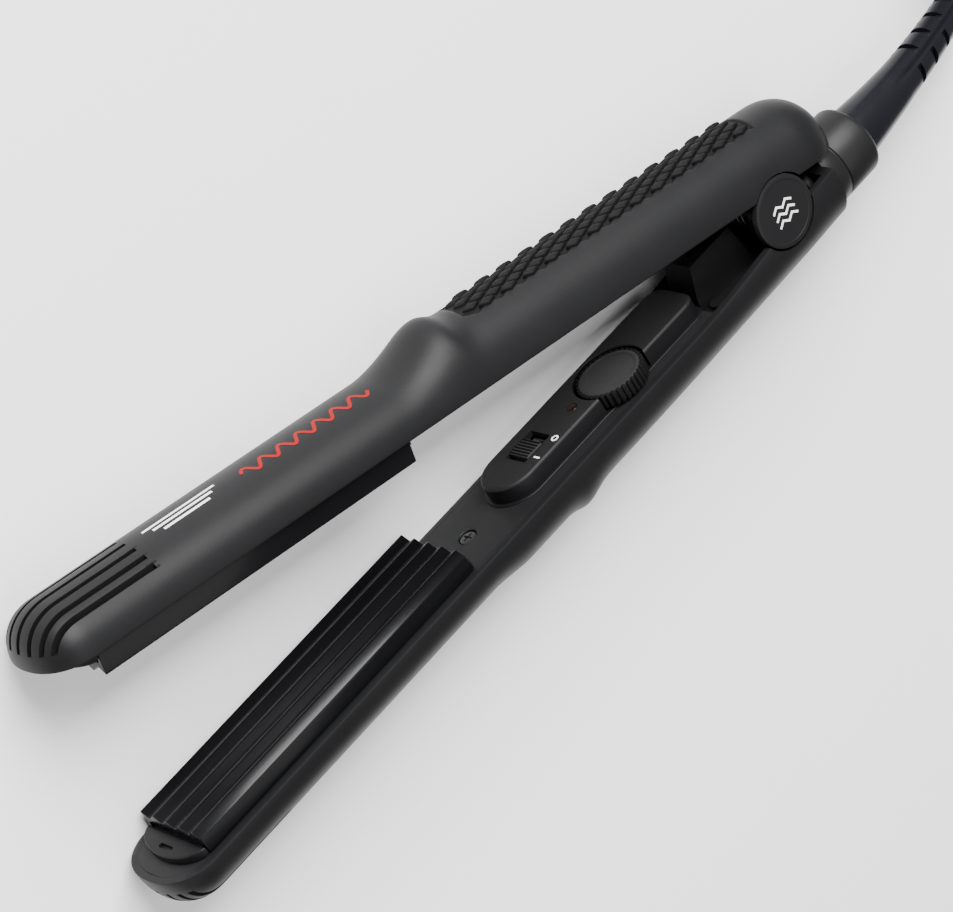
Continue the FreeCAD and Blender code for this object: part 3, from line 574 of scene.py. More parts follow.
# ---------------- geometry node helpers
class Tree:
    """Node tree that puts copies of its Shape input on points, then realizes them and sets a material."""

    def __init__(self, name, **inputs):
        self.group = bpy.data.node_groups.new(name, "GeometryNodeTree")
        face = self.group.interface
        face.new_socket("Geometry", in_out="OUTPUT", socket_type="NodeSocketGeometry")
        for label, kind in {"Shape": "Object", "Material": "Material", **inputs}.items():
            face.new_socket(label, in_out="INPUT", socket_type="NodeSocket" + kind)
        self.given = self.group.nodes.new("NodeGroupInput").outputs
        self.index = self.add("GeometryNodeInputIndex")

    def add(self, kind, settings=(), out=0, **links):
        """Output of a new node; links give its inputs by name or number, as sockets or plain values."""
        node = self.group.nodes.new(kind)
        for key, setting in dict(settings).items():
            setattr(node, key, setting)
        for key, source in links.items():
            socket = node.inputs[int(key[1:]) if key[1:].isdigit() else key.replace("_", " ")]
            if isinstance(source, bpy.types.NodeSocket):
                self.group.links.new(source, socket)
            else:
                socket.default_value = source
        return node.outputs[out]

    def maths(self, operation, a, b=0.0):
        return self.add("ShaderNodeMath", {"operation": operation}, i0=a, i1=b)

    def times(self, a, b):
        return self.maths("MULTIPLY", a, b)

    def vector(self, x, y, z):
        return self.add("ShaderNodeCombineXYZ", X=x, Y=y, Z=z)

    def place_copies(self, count, position, **turn):
        points = self.add("GeometryNodePoints", Count=count)
        moved = self.add("GeometryNodeSetPosition", Geometry=points, Position=position)
        shape = self.add("GeometryNodeObjectInfo", out="Geometry", Object=self.given["Shape"])
        copies = self.add("GeometryNodeInstanceOnPoints", Points=moved, Instance=shape, **turn)
        real = self.add("GeometryNodeRealizeInstances", Geometry=copies)
        painted = self.add("GeometryNodeSetMaterial", Geometry=real, Material=self.given["Material"])
        self.group.links.new(painted, self.group.nodes.new("NodeGroupOutput").inputs[0])
        return self

    def mesh(self, name, shape, material, **values):
        """Run the tree on shape, which is used up, and return its result as a plain mesh object."""
        holder = new_object(name, [], [])
        change = holder.modifiers.new("repeat", "NODES")
        change.node_group = self.group
        values.update(Shape=shape, Material=material)
        for item in self.group.interface.items_tree:
            if item.in_out == "INPUT":
                change[item.identifier] = values[item.name]
        baked(holder)
        bpy.data.objects.remove(shape)
        return holder


def round_tree():
    """Copies around a vertical axis through Centre, each turned to face outwards."""
    tree = Tree("repeat_round", Count="Int", Radius="Float", Centre="Vector")
    angle = tree.times(tree.maths("DIVIDE", tree.index, tree.given["Count"]), 2 * math.pi)
    arm = tree.vector(tree.times(tree.maths("COSINE", angle), tree.given["Radius"]),
                      tree.times(tree.maths("SINE", angle), tree.given["Radius"]), 0.0)
    place = tree.add("ShaderNodeVectorMath", {"operation": "ADD"}, i0=arm, i1=tree.given["Centre"])
    return tree.place_copies(tree.given["Count"], place, Rotation=tree.vector(0.0, 0.0, angle))


def line_tree():
    """Copies from Start, each moved on by Step."""
    tree = Tree("repeat_line", Count="Int", Start="Vector", Step="Vector")
    along = tree.add("ShaderNodeVectorMath", {"operation": "SCALE"}, i0=tree.given["Step"], Scale=tree.index)
    place = tree.add("ShaderNodeVectorMath", {"operation": "ADD"}, i0=along, i1=tree.given["Start"])
    return tree.place_copies(tree.given["Count"], place)


def skin_tree():
    """Staggered rows of copies on Skin, each standing square to a cylinder of radius Round."""
    tree = Tree("grip_diamonds", Skin="Object", Pitch="Float", Row="Float", Rows="Int", Columns="Int",
                Start="Float", Round="Float", Height="Float")
    given = tree.given
    row = tree.maths("FLOOR", tree.maths("DIVIDE", tree.index, given["Columns"]))
    column = tree.maths("MODULO", tree.index, given["Columns"])
    shift = tree.times(tree.maths("MODULO", row, 2.0), 0.5)
    x = tree.maths("ADD", tree.times(tree.maths("ADD", column, shift), given["Pitch"]), given["Start"])
    middle = tree.times(tree.maths("SUBTRACT", given["Rows"], 1.0), 0.5)
    around = tree.times(tree.maths("SUBTRACT", row, middle), given["Row"])
    angle = tree.maths("DIVIDE", around, given["Round"])
    out_y, out_z = tree.maths("SINE", angle), tree.maths("COSINE", angle)
    far = 40.0
    high = tree.maths("ADD", tree.times(out_z, far), given["Height"])
    source = tree.vector(x, tree.times(out_y, far), high)
    inwards = tree.vector(0.0, tree.times(out_y, -1.0), tree.times(out_z, -1.0))
    skin = tree.add("GeometryNodeObjectInfo", out="Geometry", Object=given["Skin"])
    hit = tree.add("GeometryNodeRaycast", out="Hit Position", Target_Geometry=skin, Source_Position=source,
                   Ray_Direction=inwards, Ray_Length=60.0)
    upright = tree.add("ShaderNodeVectorMath", {"operation": "SCALE"}, i0=inwards, Scale=-1.0)
    turn = tree.add("FunctionNodeAxesToRotation", {"primary_axis": "Z", "secondary_axis": "X"},
                    Primary_Axis=upright, Secondary_Axis=(1.0, 0.0, 0.0))
    return tree.place_copies(tree.times(given["Rows"], given["Columns"]), hit, Rotation=turn)


def in_line(name, shape, count, start, step, material):
    return line_tree().mesh(name, shape, material, Count=count, Start=start, Step=step)


# ---------------- outlines and slabs with rounded edges
def arc(x, y, reach_x, reach_y, start, turn, steps):
    """Points on part of an ellipse, from start degrees on through turn degrees."""
    points = []
    for i in range(steps + 1):
        a = math.radians(start + turn * i / steps)
        points.append((x + reach_x * math.cos(a), y + reach_y * math.sin(a)))
    return points


def super_ring(half_x, half_y, power, count):
    """Superellipse: a power of 2 is an ellipse, 1 a lozenge, and more a rounded box."""
    ring = []
    for i in range(count):
        a = 2 * math.pi * i / count
        ring.append((math.copysign(abs(math.cos(a)) ** (2.0 / power), math.cos(a)) * half_x,
                     math.copysign(abs(math.sin(a)) ** (2.0 / power), math.sin(a)) * half_y))
    return ring


def rounded_slab(name, outline, low, high, round_low=0.0, round_high=0.0, steps=4):
    """Solid between two heights; outline(inset) gives the ring of (x, y) moved in by inset."""
    levels = []
    for i in range(steps + 1):
        a = math.pi / 2 * i / steps
        levels.append((round_low * (1 - math.sin(a)), low + round_low * (1 - math.cos(a))))
    for i in range(steps + 1):
        a = math.pi / 2 * i / steps
        levels.append((round_high * (1 - math.cos(a)), high - round_high * (1 - math.sin(a))))
    return loft(name, [[(x, y, z) for x, y in outline(inset)] for inset, z in levels])


def bar_outline(x0, x1, half, front, corner=4.5):
    """Outline of a bar with a half-oval front and rounded rear corners, as a function of inset."""
    def ring(inset):
        small = corner - inset
        return (arc(x1 - front, 0.0, front - inset, half - inset, 90, -180, 32)
                + arc(x0 + corner, -half + corner, small, small, -90, -90, 4)
                + arc(x0 + corner, half - corner, small, small, -180, -90, 4))
    return ring


def oval_outline(x, reach, half):
    """Half oval standing on the line x and bulging by reach."""
    def ring(inset):
        pull = math.copysign(inset, reach)
        return arc(x + pull, 0.0, reach - 2 * pull, half - inset, 90, -180, 40)
    return ring


def box_outline(x0, x1, y0, y1, corner):
    def ring(inset):
        small = corner - inset
        corners = ((x1 - corner, y1 - corner), (x0 + corner, y1 - corner),
                   (x0 + corner, y0 + corner), (x1 - corner, y0 + corner))
        arcs = [arc(x, y, small, small, 90 * n, 90, 5) for n, (x, y) in enumerate(corners)]
        return [point for points in arcs for point in points]
    return ring


def softened(points, radius, steps=4):
    """Closed outline with every corner replaced by a small arc of control."""
    ring = []
    count = len(points)
    for i in range(count):
        corner = Vector(points[i])
        before = Vector(points[i - 1])
        after = Vector(points[(i + 1) % count])
        reach = min(radius, (before - corner).length * 0.45, (after - corner).length * 0.45)
        start = corner + (before - corner).normalized() * reach
        end = corner + (after - corner).normalized() * reach
        for k in range(steps + 1):
            t = k / steps
            ring.append(start * (1 - t) ** 2 + corner * 2 * t * (1 - t) + end * t ** 2)
    return ring


def offset_ring(ring, distance):
    """Closed outline moved inwards, corner by corner."""
    area = sum(a.x * b.y - b.x * a.y for a, b in zip(ring, ring[1:] + ring[:1]))
    sign = 1.0 if area > 0 else -1.0
    result = []
    for i, point in enumerate(ring):
        ahead = (ring[(i + 1) % len(ring)] - ring[i - 1]).normalized()
        result.append(point + Vector((-ahead.y, ahead.x)) * distance * sign)
    return result


# ---------------- grip diamonds
def diamond(length, width, height):
    """One pillow-topped lozenge, standing on z = 0 and sunk a little below it."""
    levels = ((1.0, -0.5), (1.0, height * 0.3), (0.93, height * 0.62), (0.76, height * 0.86), (0.42, height))
    ring = super_ring(length / 2, width / 2, 1.12, 20)
    return loft("diamond", [[(x * scale, y * scale, z) for x, y in ring] for scale, z in levels])


def make_grip(skin):
    stone = diamond(GRIP_PITCH - 2.1, 2 * GRIP_ROW - 1.05, 1.0)
    grip = skin_tree().mesh("grip_diamonds", stone, SOFT_TOUCH, Skin=skin, Pitch=GRIP_PITCH, Row=GRIP_ROW,
                            Rows=GRIP_ROWS, Columns=GRIP_COLUMNS, Start=GRIP_START, Round=GRIP_RADIUS,
                            Height=UPPER_RIM + BELT)
    return shade(grip, 40.0)


# ---------------- lower deck, pod and upper deck
POD_X0 = 31.6
POD_X1 = 107.0
POD_HALF_WIDTH = 8.4
POD_FRONT = 9.0
POD_TOP = -1.5
POD_WALL = 1.5
DIAL_X = 62.4
DIAL_Y = 3.5
DIAL_RADIUS = 9.6
DIAL_TOP = -1.6
DIAL_THICK = 4.2
DIAL_TEETH = 36
DIAL_GAP = 0.6
SWITCH_X = 91.1
SWITCH_LENGTH = 10.2
SWITCH_HALF_WIDTH = 3.8
SLIDER_X0 = 89.0
SLIDER_LENGTH = 5.8
SLIDER_HALF_WIDTH = 3.5
SLIDER_TOP = -0.9
LED_X = 75.9
LED_Y = 2.4
LED_RADIUS = 1.4
SCREW_X = 118.7
REAR_SCREW_X = 70.0
COVER_THICK = 1.8


def deck_outline(start, upper):
    def ring(inset):
        side = WALL + 0.1
        end = side + 0.02
        near = []
        for x in spread(start, NOSE_START, 4.0) + nose_stations(end, 20)[1:]:
            half = outline(x, side, upper)[0]
            near.append((min(x, TIP_X - end - inset), max(0.0, half - inset)))
        near[0] = (start + inset, near[0][1])
        return near + [(x, -y) for x, y in reversed(near[:-1])]
    return ring


def plate_opening(low, high):
    return block("plate_opening", (PLATE_X0 + 0.4, -11.1, low), (PLATE_X1 - 0.2, 11.1, high))


def screw_well(x, face, sign):
    steps = ((0, -6), (1.45, -6), (1.45, -1.0), (2.6, -1.0), (2.6, -0.15), (2.9, 0.15), (2.9, 2), (0, 2))
    return lathe("screw_well", [(radius, face + sign * up) for radius, up in steps], (x, 0, 0))


def make_lower_cover():
    rim = -LOWER_RIM
    deck = rounded_slab("lower_deck", deck_outline(32.0, False), rim - COVER_THICK, rim, 0.0, 0.25)
    opening = plate_opening(-14, 0)
    foot = bar_outline(POD_X0 - 0.5, POD_X1 + 0.9, POD_HALF_WIDTH + 0.9, POD_FRONT + 0.5)
    base = rounded_slab("pod_foot", foot, rim - 0.6, rim + 0.45, 0.0, 0.3)
    top = bar_outline(POD_X0, POD_X1, POD_HALF_WIDTH, POD_FRONT)
    pod = rounded_slab("pod", top, rim - 0.5, POD_TOP, 0.0, 1.0, 6)
    boolean(deck, [pod, base], "UNION")
    hollow = bar_outline(POD_X0 - 1, POD_X1 - POD_WALL, POD_HALF_WIDTH - POD_WALL, 8.0)
    inside = rounded_slab("pod_inside", hollow, rim - 5, POD_TOP - POD_WALL)
    floor = DIAL_TOP - DIAL_THICK - DIAL_GAP
    wall = DIAL_RADIUS + DIAL_GAP
    bay = lathe("dial_bay", [(0, floor), (wall, floor), (wall, POD_TOP - 0.2), (wall + 0.3, POD_TOP + 0.1),
                             (wall + 0.3, 6), (0, 6)], (DIAL_X, DIAL_Y, 0), segments=128)
    half = SWITCH_LENGTH / 2
    edge = box_outline(SWITCH_X - half, SWITCH_X + half, -SWITCH_HALF_WIDTH, SWITCH_HALF_WIDTH, 0.5)
    window = rounded_slab("switch_window", edge, -12, 5)
    bore = LED_RADIUS + 0.08
    lens_hole = lathe("lens_hole", [(0, -12), (bore, -12), (bore, 5), (0, 5)], (LED_X, LED_Y, 0),
                      segments=48)
    boolean(deck, [opening, inside, bay, window, lens_hole, screw_well(SCREW_X, rim, 1)])
    shade(clean(deck), 25.0)
    # The pod's side walls take the darker second material: painted shade.
    paint_shade_on(deck, lambda x, y, z: rim + 0.1 < z < POD_TOP - 0.75)
    return deck


def make_upper_cover():
    deck = rounded_slab("upper_deck", deck_outline(14.0, True), UPPER_RIM, UPPER_RIM + COVER_THICK, 0.25)
    wells = [screw_well(x, UPPER_RIM, -1) for x in (SCREW_X, REAR_SCREW_X)]
    boolean(deck, [plate_opening(0, 14)] + wells)
    return shade(clean(deck), 25.0)


def make_screw(x, face, sign):
    """Pan-head screw with a cross recess, its head just under the face."""
    steps = ((0, -8), (1.1, -8), (1.38, -7.4), (1.38, -0.95), (2.2, -0.95), (2.3, -0.75), (2.2, -0.35),
             (1.7, -0.15), (0, -0.15))
    head = lathe("screw", [(radius, face + sign * up) for radius, up in steps], (x, 0, 0), segments=48)
    low, high = sorted((face - sign * 0.8, face + sign * 0.85))
    boolean(head, [block("slot", (x - a, -b, low), (x + a, b, high)) for a, b in ((1.45, 0.3), (0.3, 1.45))])
    return shade(clean(head), 30.0)


# ---------------- dial, slider and indicator
def make_dial():
    base = DIAL_TOP - DIAL_THICK
    r = DIAL_RADIUS - 0.85
    face = [(r, -0.5), (r - 0.15, -0.15), (r - 0.5, 0), (r - 1.15, 0), (r - 1.5, -0.3), (r - 1.9, -0.42),
            (3.0, -0.36), (0, -0.34)]
    profile = [(0, -9.55), (1.9, -9.55), (1.9, base), (r - 0.4, base), (r, base + 0.4)]
    profile += [(radius, DIAL_TOP + up) for radius, up in face]
    body = lathe("dial", profile, (DIAL_X, DIAL_Y, 0), segments=160)
    tooth = lathe("tooth", [(0, base + 0.1), (0.6, base + 0.2), (0.68, base + 0.5), (0.68, DIAL_TOP - 0.45),
                            (0.6, DIAL_TOP - 0.15), (0.4, DIAL_TOP - 0.02), (0, DIAL_TOP)], segments=16)
    teeth = round_tree().mesh("dial_teeth", tooth, DIAL, Count=DIAL_TEETH, Radius=DIAL_RADIUS - 0.7,
                              Centre=(DIAL_X, DIAL_Y, 0.0))
    return shade(joined([body, teeth]), 35.0)


def make_slider():
    top = SLIDER_TOP - 0.35
    foot = POD_TOP - POD_WALL - 1.2
    edge = box_outline(SLIDER_X0, SLIDER_X0 + SLIDER_LENGTH, -SLIDER_HALF_WIDTH, SLIDER_HALF_WIDTH, 0.35)
    body = rounded_slab("slider", edge, foot, top, 0.0, 0.15)
    stem = block("stem", (SLIDER_X0 + 1.6, -1.4, foot - 2.2), (SLIDER_X0 + 4.2, 1.4, foot + 0.3))
    section = ((-0.27, -0.3), (0.27, -0.3), (0.2, 0.22), (0.08, 0.34), (-0.08, 0.34), (-0.2, 0.22))
    reach = SLIDER_HALF_WIDTH - 0.1
    rib = loft("rib", [[(x, y, z) for x, z in section] for y in (-reach, reach)])
    ribs = in_line("slider_ribs", rib, 6, (SLIDER_X0 + 0.5, 0.0, top), (0.96, 0.0, 0.0), SLIDER)
    return shade(joined([body, stem, ribs]), 35.0)


def make_lens():
    r = LED_RADIUS
    top = POD_TOP + 0.1
    profile = [(0, -11.2), (r, -11.2), (r, top - 0.35), (r - 0.1, top - 0.15), (r - 0.4, top - 0.02),
               (0, top)]
    return shade(lathe("indicator_dome", profile, (LED_X, LED_Y, 0), segments=48), 50.0)


def make_switch_marks():
    """A bar and a ring, for on and off."""
    low = POD_TOP - 0.03
    high = POD_TOP + 0.05
    bar = block("switch_marks", (93.5, 5.1, low), (94.0, 7.2, high))
    ring = lathe("ring", [(0.62, low), (1.05, low), (1.05, high), (0.62, high), (0.62, low)], (86.6, 6.2, 0),
                 segments=48)
    return joined([bar, ring])


# ---------------- crimp plates and their carriers
PLATE_BODY = 1.5
SKIRT = 1.2
SKIRT_GAP = 0.25
UPPER_CREST = -0.3


def plate_profile(crest, sign, crest_at_far_edge, skirt_end):
    """Zigzag face, flat back and two skirts, as (y, z); sign is the side that the metal is on."""
    points = []
    at_crest = crest_at_far_edge
    steps = int(2 * (2 * PLATE_HALF_WIDTH + 0.01) / CRIMP_PITCH) + 1
    for i in range(steps):
        level = crest if at_crest else crest + sign * CRIMP_DEPTH
        points.append((-PLATE_HALF_WIDTH + i * CRIMP_PITCH / 2, level))
        at_crest = not at_crest
    half = points[-1][0]
    back = crest + sign * (CRIMP_DEPTH + PLATE_BODY)
    points += [(half, skirt_end), (half - SKIRT, skirt_end), (half - SKIRT, back),
               (-PLATE_HALF_WIDTH + SKIRT, back), (-PLATE_HALF_WIDTH + SKIRT, skirt_end),
               (-PLATE_HALF_WIDTH, skirt_end)]
    return points


def make_plate(name, profile):
    ring = softened(profile, 0.6)
    rings = []
    for x, inset in ((PLATE_X0, 0.22), (PLATE_X0 + 0.06, 0.09), (PLATE_X0 + 0.22, 0.0),
                     (PLATE_X1 - 0.22, 0.0), (PLATE_X1 - 0.06, 0.09), (PLATE_X1, 0.22)):
        rings.append([(x, p.x, p.y) for p in offset_ring(ring, inset)])
    return shade(loft(name, rings), 40.0)


def make_carrier(name, sign, rim, back):
    """Tray under a plate with a rounded cap at each end; sign is the side that the shell is on."""
    def slab(part, ring, z0, z1, rounding=0.0):
        low, high = sorted((sign * z0, sign * z1))
        return rounded_slab(part, ring, low, high, *((rounding, 0.0) if sign > 0 else (0.0, rounding)))

    def neck(part, x):
        return slab(part, box_outline(x - 1.0, x + 1.0, -10.0, 10.0, 0.2), rim - 2.0, rim - 0.35)

    tray = slab(name, box_outline(PLATE_X0 + 0.6, PLATE_X1 - 0.4, -10.9, 10.9, 0.3), back + 0.1, rim + 2.9)
    pocket = slab("pocket", box_outline(134, 216, -8.2, 8.2, 0.3), back - 1, rim + 1.4)
    seat = slab("sensor_seat", box_outline(207, 214, -1.6, 1.6, 0.2), rim, rim + 4)
    boolean(tray, [pocket, seat])
    front = slab("front", oval_outline(PLATE_X1 + 0.2, 6.4, 11.9), rim - 2.5, rim - 0.3, 0.55)
    boolean(front, [slab("notch", box_outline(228.4, 229.7, -2.6, 2.6, 0.6), rim - 3.5, rim - 1.7)])
    rear = slab("rear", oval_outline(PLATE_X0 - 0.2, -2.2, 11.9), rim - 2.2, rim - 0.3, 0.4)
    parts = [tray, front, neck("front_neck", PLATE_X1), rear, neck("rear_neck", PLATE_X0)]
    return shade(joined(parts), 35.0)


# ---------------- pivot caps and marks
def make_cap(name, side):
    """Disc with a rounded edge and a slightly dished face, on a short boss."""
    r = CAP_RADIUS
    steps = ((0, 11.25), (4.0, 11.25), (4.0, 12.4), (r - 0.3, 12.4), (r, 12.7), (r, HALF_WIDTH - 0.55),
             (r - 0.16, HALF_WIDTH - 0.16), (r - 0.55, HALF_WIDTH), (r - 1.3, HALF_WIDTH),
             (r - 1.5, HALF_WIDTH - CAP_DISH), (0, HALF_WIDTH - CAP_DISH))
    profile = [(radius, side * out) for radius, out in steps]
    return shade(lathe(name, profile, axis="Y", segments=160), 25.0)


def strip(name, path, width, low, high, lift):
    """Thin raised line of even width along path; lift carries (along, aside, height) into an arm's frame."""
    rings = []
    for i, point in enumerate(path):
        before = Vector(path[max(i - 1, 0)])
        after = Vector(path[min(i + 1, len(path) - 1)])
        here = Vector(point)
        ahead = (after - before).normalized()
        first = (here - before).normalized() if i else ahead
        widen = 1.0 / max(0.5, ahead.dot(first))
        aside = Vector((-ahead.y, ahead.x)) * width / 2 * widen
        rings.append([lift(*(here + aside), low), lift(*(here - aside), low), lift(*(here - aside), high),
                      lift(*(here + aside), high)])
    return loft(name, rings)


def make_cap_mark():
    """Three short zigzags."""
    def lift(x, z, y):
        return (x, y, z)

    face = HALF_WIDTH - CAP_DISH
    lines = []
    for z in (-2.9, -0.7, 1.5):
        path = [(-3.6 + 1.8 * i, z + (1.3 if i % 2 else 0.0)) for i in range(5)]
        lines.append(strip("cap_mark", path, 0.6, face - 0.05, face + 0.06, lift))
    return joined(lines)


def on_upper_skin(x, around, height):
    """Point on the outer face of the upper arm, around mm from its middle line towards the near side."""
    half, belt, face, rim = outline(x, 0.0, True)
    radius = (half + face - belt) / 2
    a = math.pi / 2 - around / radius
    return (x, (half + height) * math.cos(a), belt + (face + height - belt) * math.sin(a))


WAVE_START = 128.5
WAVE_LENGTH = 40.0
WAVE_AROUND = 2.9
WAVE_SWING = 1.5
WAVE_COUNT = 7
MARK_LEVELS = (-0.06, 0.07)


def make_wave_mark():
    """A long red wave along the upper arm."""
    steps = 160
    path = []
    for i in range(steps + 1):
        swing = WAVE_SWING * math.sin(2 * math.pi * WAVE_COUNT * i / steps)
        path.append((WAVE_START + WAVE_LENGTH * i / steps, WAVE_AROUND + swing))
    return strip("arm_wave_mark", path, 0.9, *MARK_LEVELS, on_upper_skin)


def make_bar_marks():
    """Three pale bars between the wave and the nose, each shorter than the last."""
    bars = []
    for n, around in enumerate((0.2, 1.9, 3.6)):
        path = [(x, around) for x in spread(175.0 + 2.0 * n, 199.0 - 2.0 * n, 2.0)]
        bars.append(strip("arm_bar_mark", path, 0.7, *MARK_LEVELS, on_upper_skin))
    return joined(bars)


# ---------------- swivel collar and strain relief
COLLAR_X0 = -20.3
COLLAR_X1 = -38.2
COLLAR_RADIUS = 10.5
NECK_RADIUS = 7.0
RELIEF_LENGTH = 58.0
RELIEF_DROOP = math.radians(16.0)
RELIEF_ROOT = 7.6
RELIEF_END = 4.7
RELIEF_SEAMS = (math.radians(124.0), math.radians(304.0))
RELIEF_SLOTS = 9
RELIEF_SLOT_START = 27.5
RELIEF_SLOT_PITCH = 3.55
CORD_RADIUS = 3.4


def make_collar():
    r = COLLAR_RADIUS
    profile = [(4.25, -15.0), (8.2, -14.7), (8.2, -16.8), (NECK_RADIUS, -16.8), (NECK_RADIUS, COLLAR_X0),
               (r - 0.5, COLLAR_X0), (r - 0.12, COLLAR_X0 - 0.12), (r, COLLAR_X0 - 0.5), (r, -25.4),
               (r - 0.12, -25.6), (r - 0.45, -25.75), (r - 0.45, -26.1), (r - 0.12, -26.25), (r, -26.45)]
    profile += arc(r - 1.9, COLLAR_X1 + 1.9, 1.9, -1.9, 0, 90, 8)
    profile += [(7.9, COLLAR_X1), (7.75, COLLAR_X1 + 0.3), (7.7, COLLAR_X1 + 2.0), (4.25, COLLAR_X1 + 2.0),
                (4.25, -15.0)]
    return shade(lathe("swivel_ring", profile, (0, 0, COLLAR_Z), "X", 144), 32.0)


def relief_point(distance):
    """Point on the sagging centre line in the row frame in millimetres, and its direction."""
    bend = RELIEF_LENGTH / RELIEF_DROOP
    turn = distance / bend
    start = HINGE / MM + Vector((COLLAR_X1, -COLLAR_Z, 0.0))
    return start + Vector((-bend * math.sin(turn), 0.0, -bend * (1.0 - math.cos(turn)))), turn


def relief_radius(t):
    shoulder = 6.15
    flare = 1.0 - smooth(t, -6.0, 24.0)
    straight = shoulder + (RELIEF_END - shoulder) * max(0.0, (t - 20.0) / (RELIEF_LENGTH - 20.0))
    return straight + (RELIEF_ROOT + 0.35 - shoulder) * flare


def relief_ring(t, pull):
    """Ring at t along the relief, with a flat channel along both seams, moved in by pull."""
    centre, turn = relief_point(t)
    down = Vector((math.sin(turn), 0.0, -math.cos(turn)))
    across = Vector((0.0, 1.0, 0.0))
    panel = smooth(t, 16.0, 24.0)
    ring = []
    for j in range(96):
        a = 2 * math.pi * j / 96
        channel = sum(math.exp(-(((a - at + math.pi) % (2 * math.pi) - math.pi) / 0.10) ** 2)
                      for at in RELIEF_SEAMS)
        radius = relief_radius(t) - pull - 0.15 * panel - 0.7 * panel * channel
        ring.append(centre + (across * math.cos(a) - down * math.sin(a)) * radius)
    return ring


def make_relief():
    stations = [-1.9] + spread(0.0, 23.0, 1.0) + spread(23.4, RELIEF_LENGTH - 1.0, 0.5)
    rings = [relief_ring(t, 0.0) for t in stations]
    rings += [relief_ring(RELIEF_LENGTH - short, pull)
              for short, pull in ((0.6, 0.15), (0.2, 0.5), (0.0, 1.1))]
    body = loft("cord_relief", rings)
    slots = []
    for n in range(RELIEF_SLOTS):
        t = RELIEF_SLOT_START + RELIEF_SLOT_PITCH * n
        centre, turn = relief_point(t)
        for seam in RELIEF_SEAMS:
            angle = seam + (1.0 if n % 2 else -1.0)
            edge = box_outline(-0.95, 0.95, -4.4, 4.4, 0.9)
            slot = rounded_slab("relief_slot", edge, 0.7 * relief_radius(t), 9.0)
            around = Matrix.Rotation(angle - math.pi / 2, 4, "X")
            slot.data.transform(Matrix.Translation(centre) @ Matrix.Rotation(-turn, 4, "Y") @ around)
            slots.append(slot)
    boolean(body, [joined(slots)])
    return shade(clean(body), 32.0)


# ---------------- cord, coil, tie and plug
COIL_CENTRE = (-232.0, -19.65)
COIL_OUTER = 50.2
COIL_STEP = 6.8
COIL_SIDE_TURNS = 3
COIL_LOW_Z = 3.4
COIL_HIGH_Z = 10.2
COIL_START = math.radians(90.0)
COIL_LEAVE = math.radians(264.0)
COIL_POINTS = 18
TIE_ANGLE = math.radians(200.0)
END_HEADING = math.radians(-6.0)
LEAD = ((-195.15, 30.55, 6.454), (-205.80, 30.55, 3.4), (-218.90, 30.95, 3.4))
END_ROUTE = ((9.0, 0.1, 0.02), (19.0, -0.2, 0.36), (29.0, 0.1, 0.88), (38.0, 0.0, 1.0))
PLUG_HALF_HEIGHT = 6.85
PIN_SPACING = 18.6


def coil_place(angle, radius, z):
    return Vector((COIL_CENTRE[0] + radius * math.cos(angle), COIL_CENTRE[1] + radius * math.sin(angle), z))


def cord_route():
    """Centre line: the lead, turns inwards on the floor, a climb, turns outwards above, and the plug end."""
    inner = COIL_OUTER - COIL_SIDE_TURNS * COIL_STEP
    climb = COIL_LEAVE - COIL_START
    turns = 2 * math.pi * COIL_SIDE_TURNS
    total = 2 * turns + climb
    count = round(total / (2 * math.pi) * COIL_POINTS)
    widen = 1.0 / math.cos(total / count / 2)
    points = [Vector(p) for p in LEAD]
    for i in range(count + 1):
        along = total * i / count
        if along <= turns:
            radius, z = COIL_OUTER - COIL_STEP * along / (2 * math.pi), COIL_LOW_Z
        elif along <= turns + climb:
            t = (along - turns) / climb
            radius = inner - 1.3 * math.sin(math.pi * t)
            z = COIL_LOW_Z + (COIL_HIGH_Z - COIL_LOW_Z) * smooth(t, 0, 1)
        else:
            radius, z = inner + COIL_STEP * (along - turns - climb) / (2 * math.pi), COIL_HIGH_Z
        points.append(coil_place(COIL_START + along, radius * widen, z))
    ahead = Vector((math.cos(END_HEADING), math.sin(END_HEADING), 0.0))
    aside = Vector((-ahead.y, ahead.x, 0.0))
    leave = coil_place(COIL_LEAVE, COIL_OUTER, COIL_HIGH_Z)
    drop = PLUG_HALF_HEIGHT - leave.z
    points += [leave + ahead * a + aside * s + Vector((0, 0, drop * f)) for a, s, f in END_ROUTE]
    return points


def make_cord():
    route = cord_route()
    curve = bpy.data.curves.new("mains_cord", "CURVE")
    curve.dimensions = "3D"
    curve.bevel_depth = CORD_RADIUS * MM
    curve.bevel_resolution = 5
    curve.resolution_u = 6
    curve.use_fill_caps = True
    spline = curve.splines.new("NURBS")
    spline.points.add(len(route) - 1)
    for place, point in zip(spline.points, route):
        place.co = (*(point * MM), 1.0)
    spline.order_u = 3
    spline.use_endpoint_u = True
    obj = linked("mains_cord", curve)
    curve.materials.append(CORD)
    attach(obj, "cord_swivel")
    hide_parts("cord_lead", "cord_coil", "cord_end")
    return obj, route


def make_tie():
    inner = COIL_OUTER - 3.5 * COIL_STEP - 1.6
    outer = COIL_OUTER + 0.5 * COIL_STEP + 0.1

    def band(name, add, half, rounding):
        edge = box_outline(inner - add, outer + add, -add, 13.7 + add, 1.2)
        slab = rounded_slab(name, edge, -half, half, rounding, rounding)
        slab.data.transform(turned(90, "X"))
        return slab

    strap = band("cord_tie", 1.0, 6.0, 0.3)
    boolean(strap, [band("tie_inside", 0.05, 8.0, 0.0)])
    button = lathe("tie_button", [(0, 14.4), (3.4, 14.4), (3.4, 15.6), (2.9, 16.1), (0, 16.2)],
                   ((inner + outer) / 2, 0, 0), segments=48)
    strap = joined([strap, button])
    strap.data.transform(Matrix.Translation((*COIL_CENTRE, 1.0)) @ Matrix.Rotation(TIE_ANGLE, 4, "Z"))
    return shade(strap, 35.0)


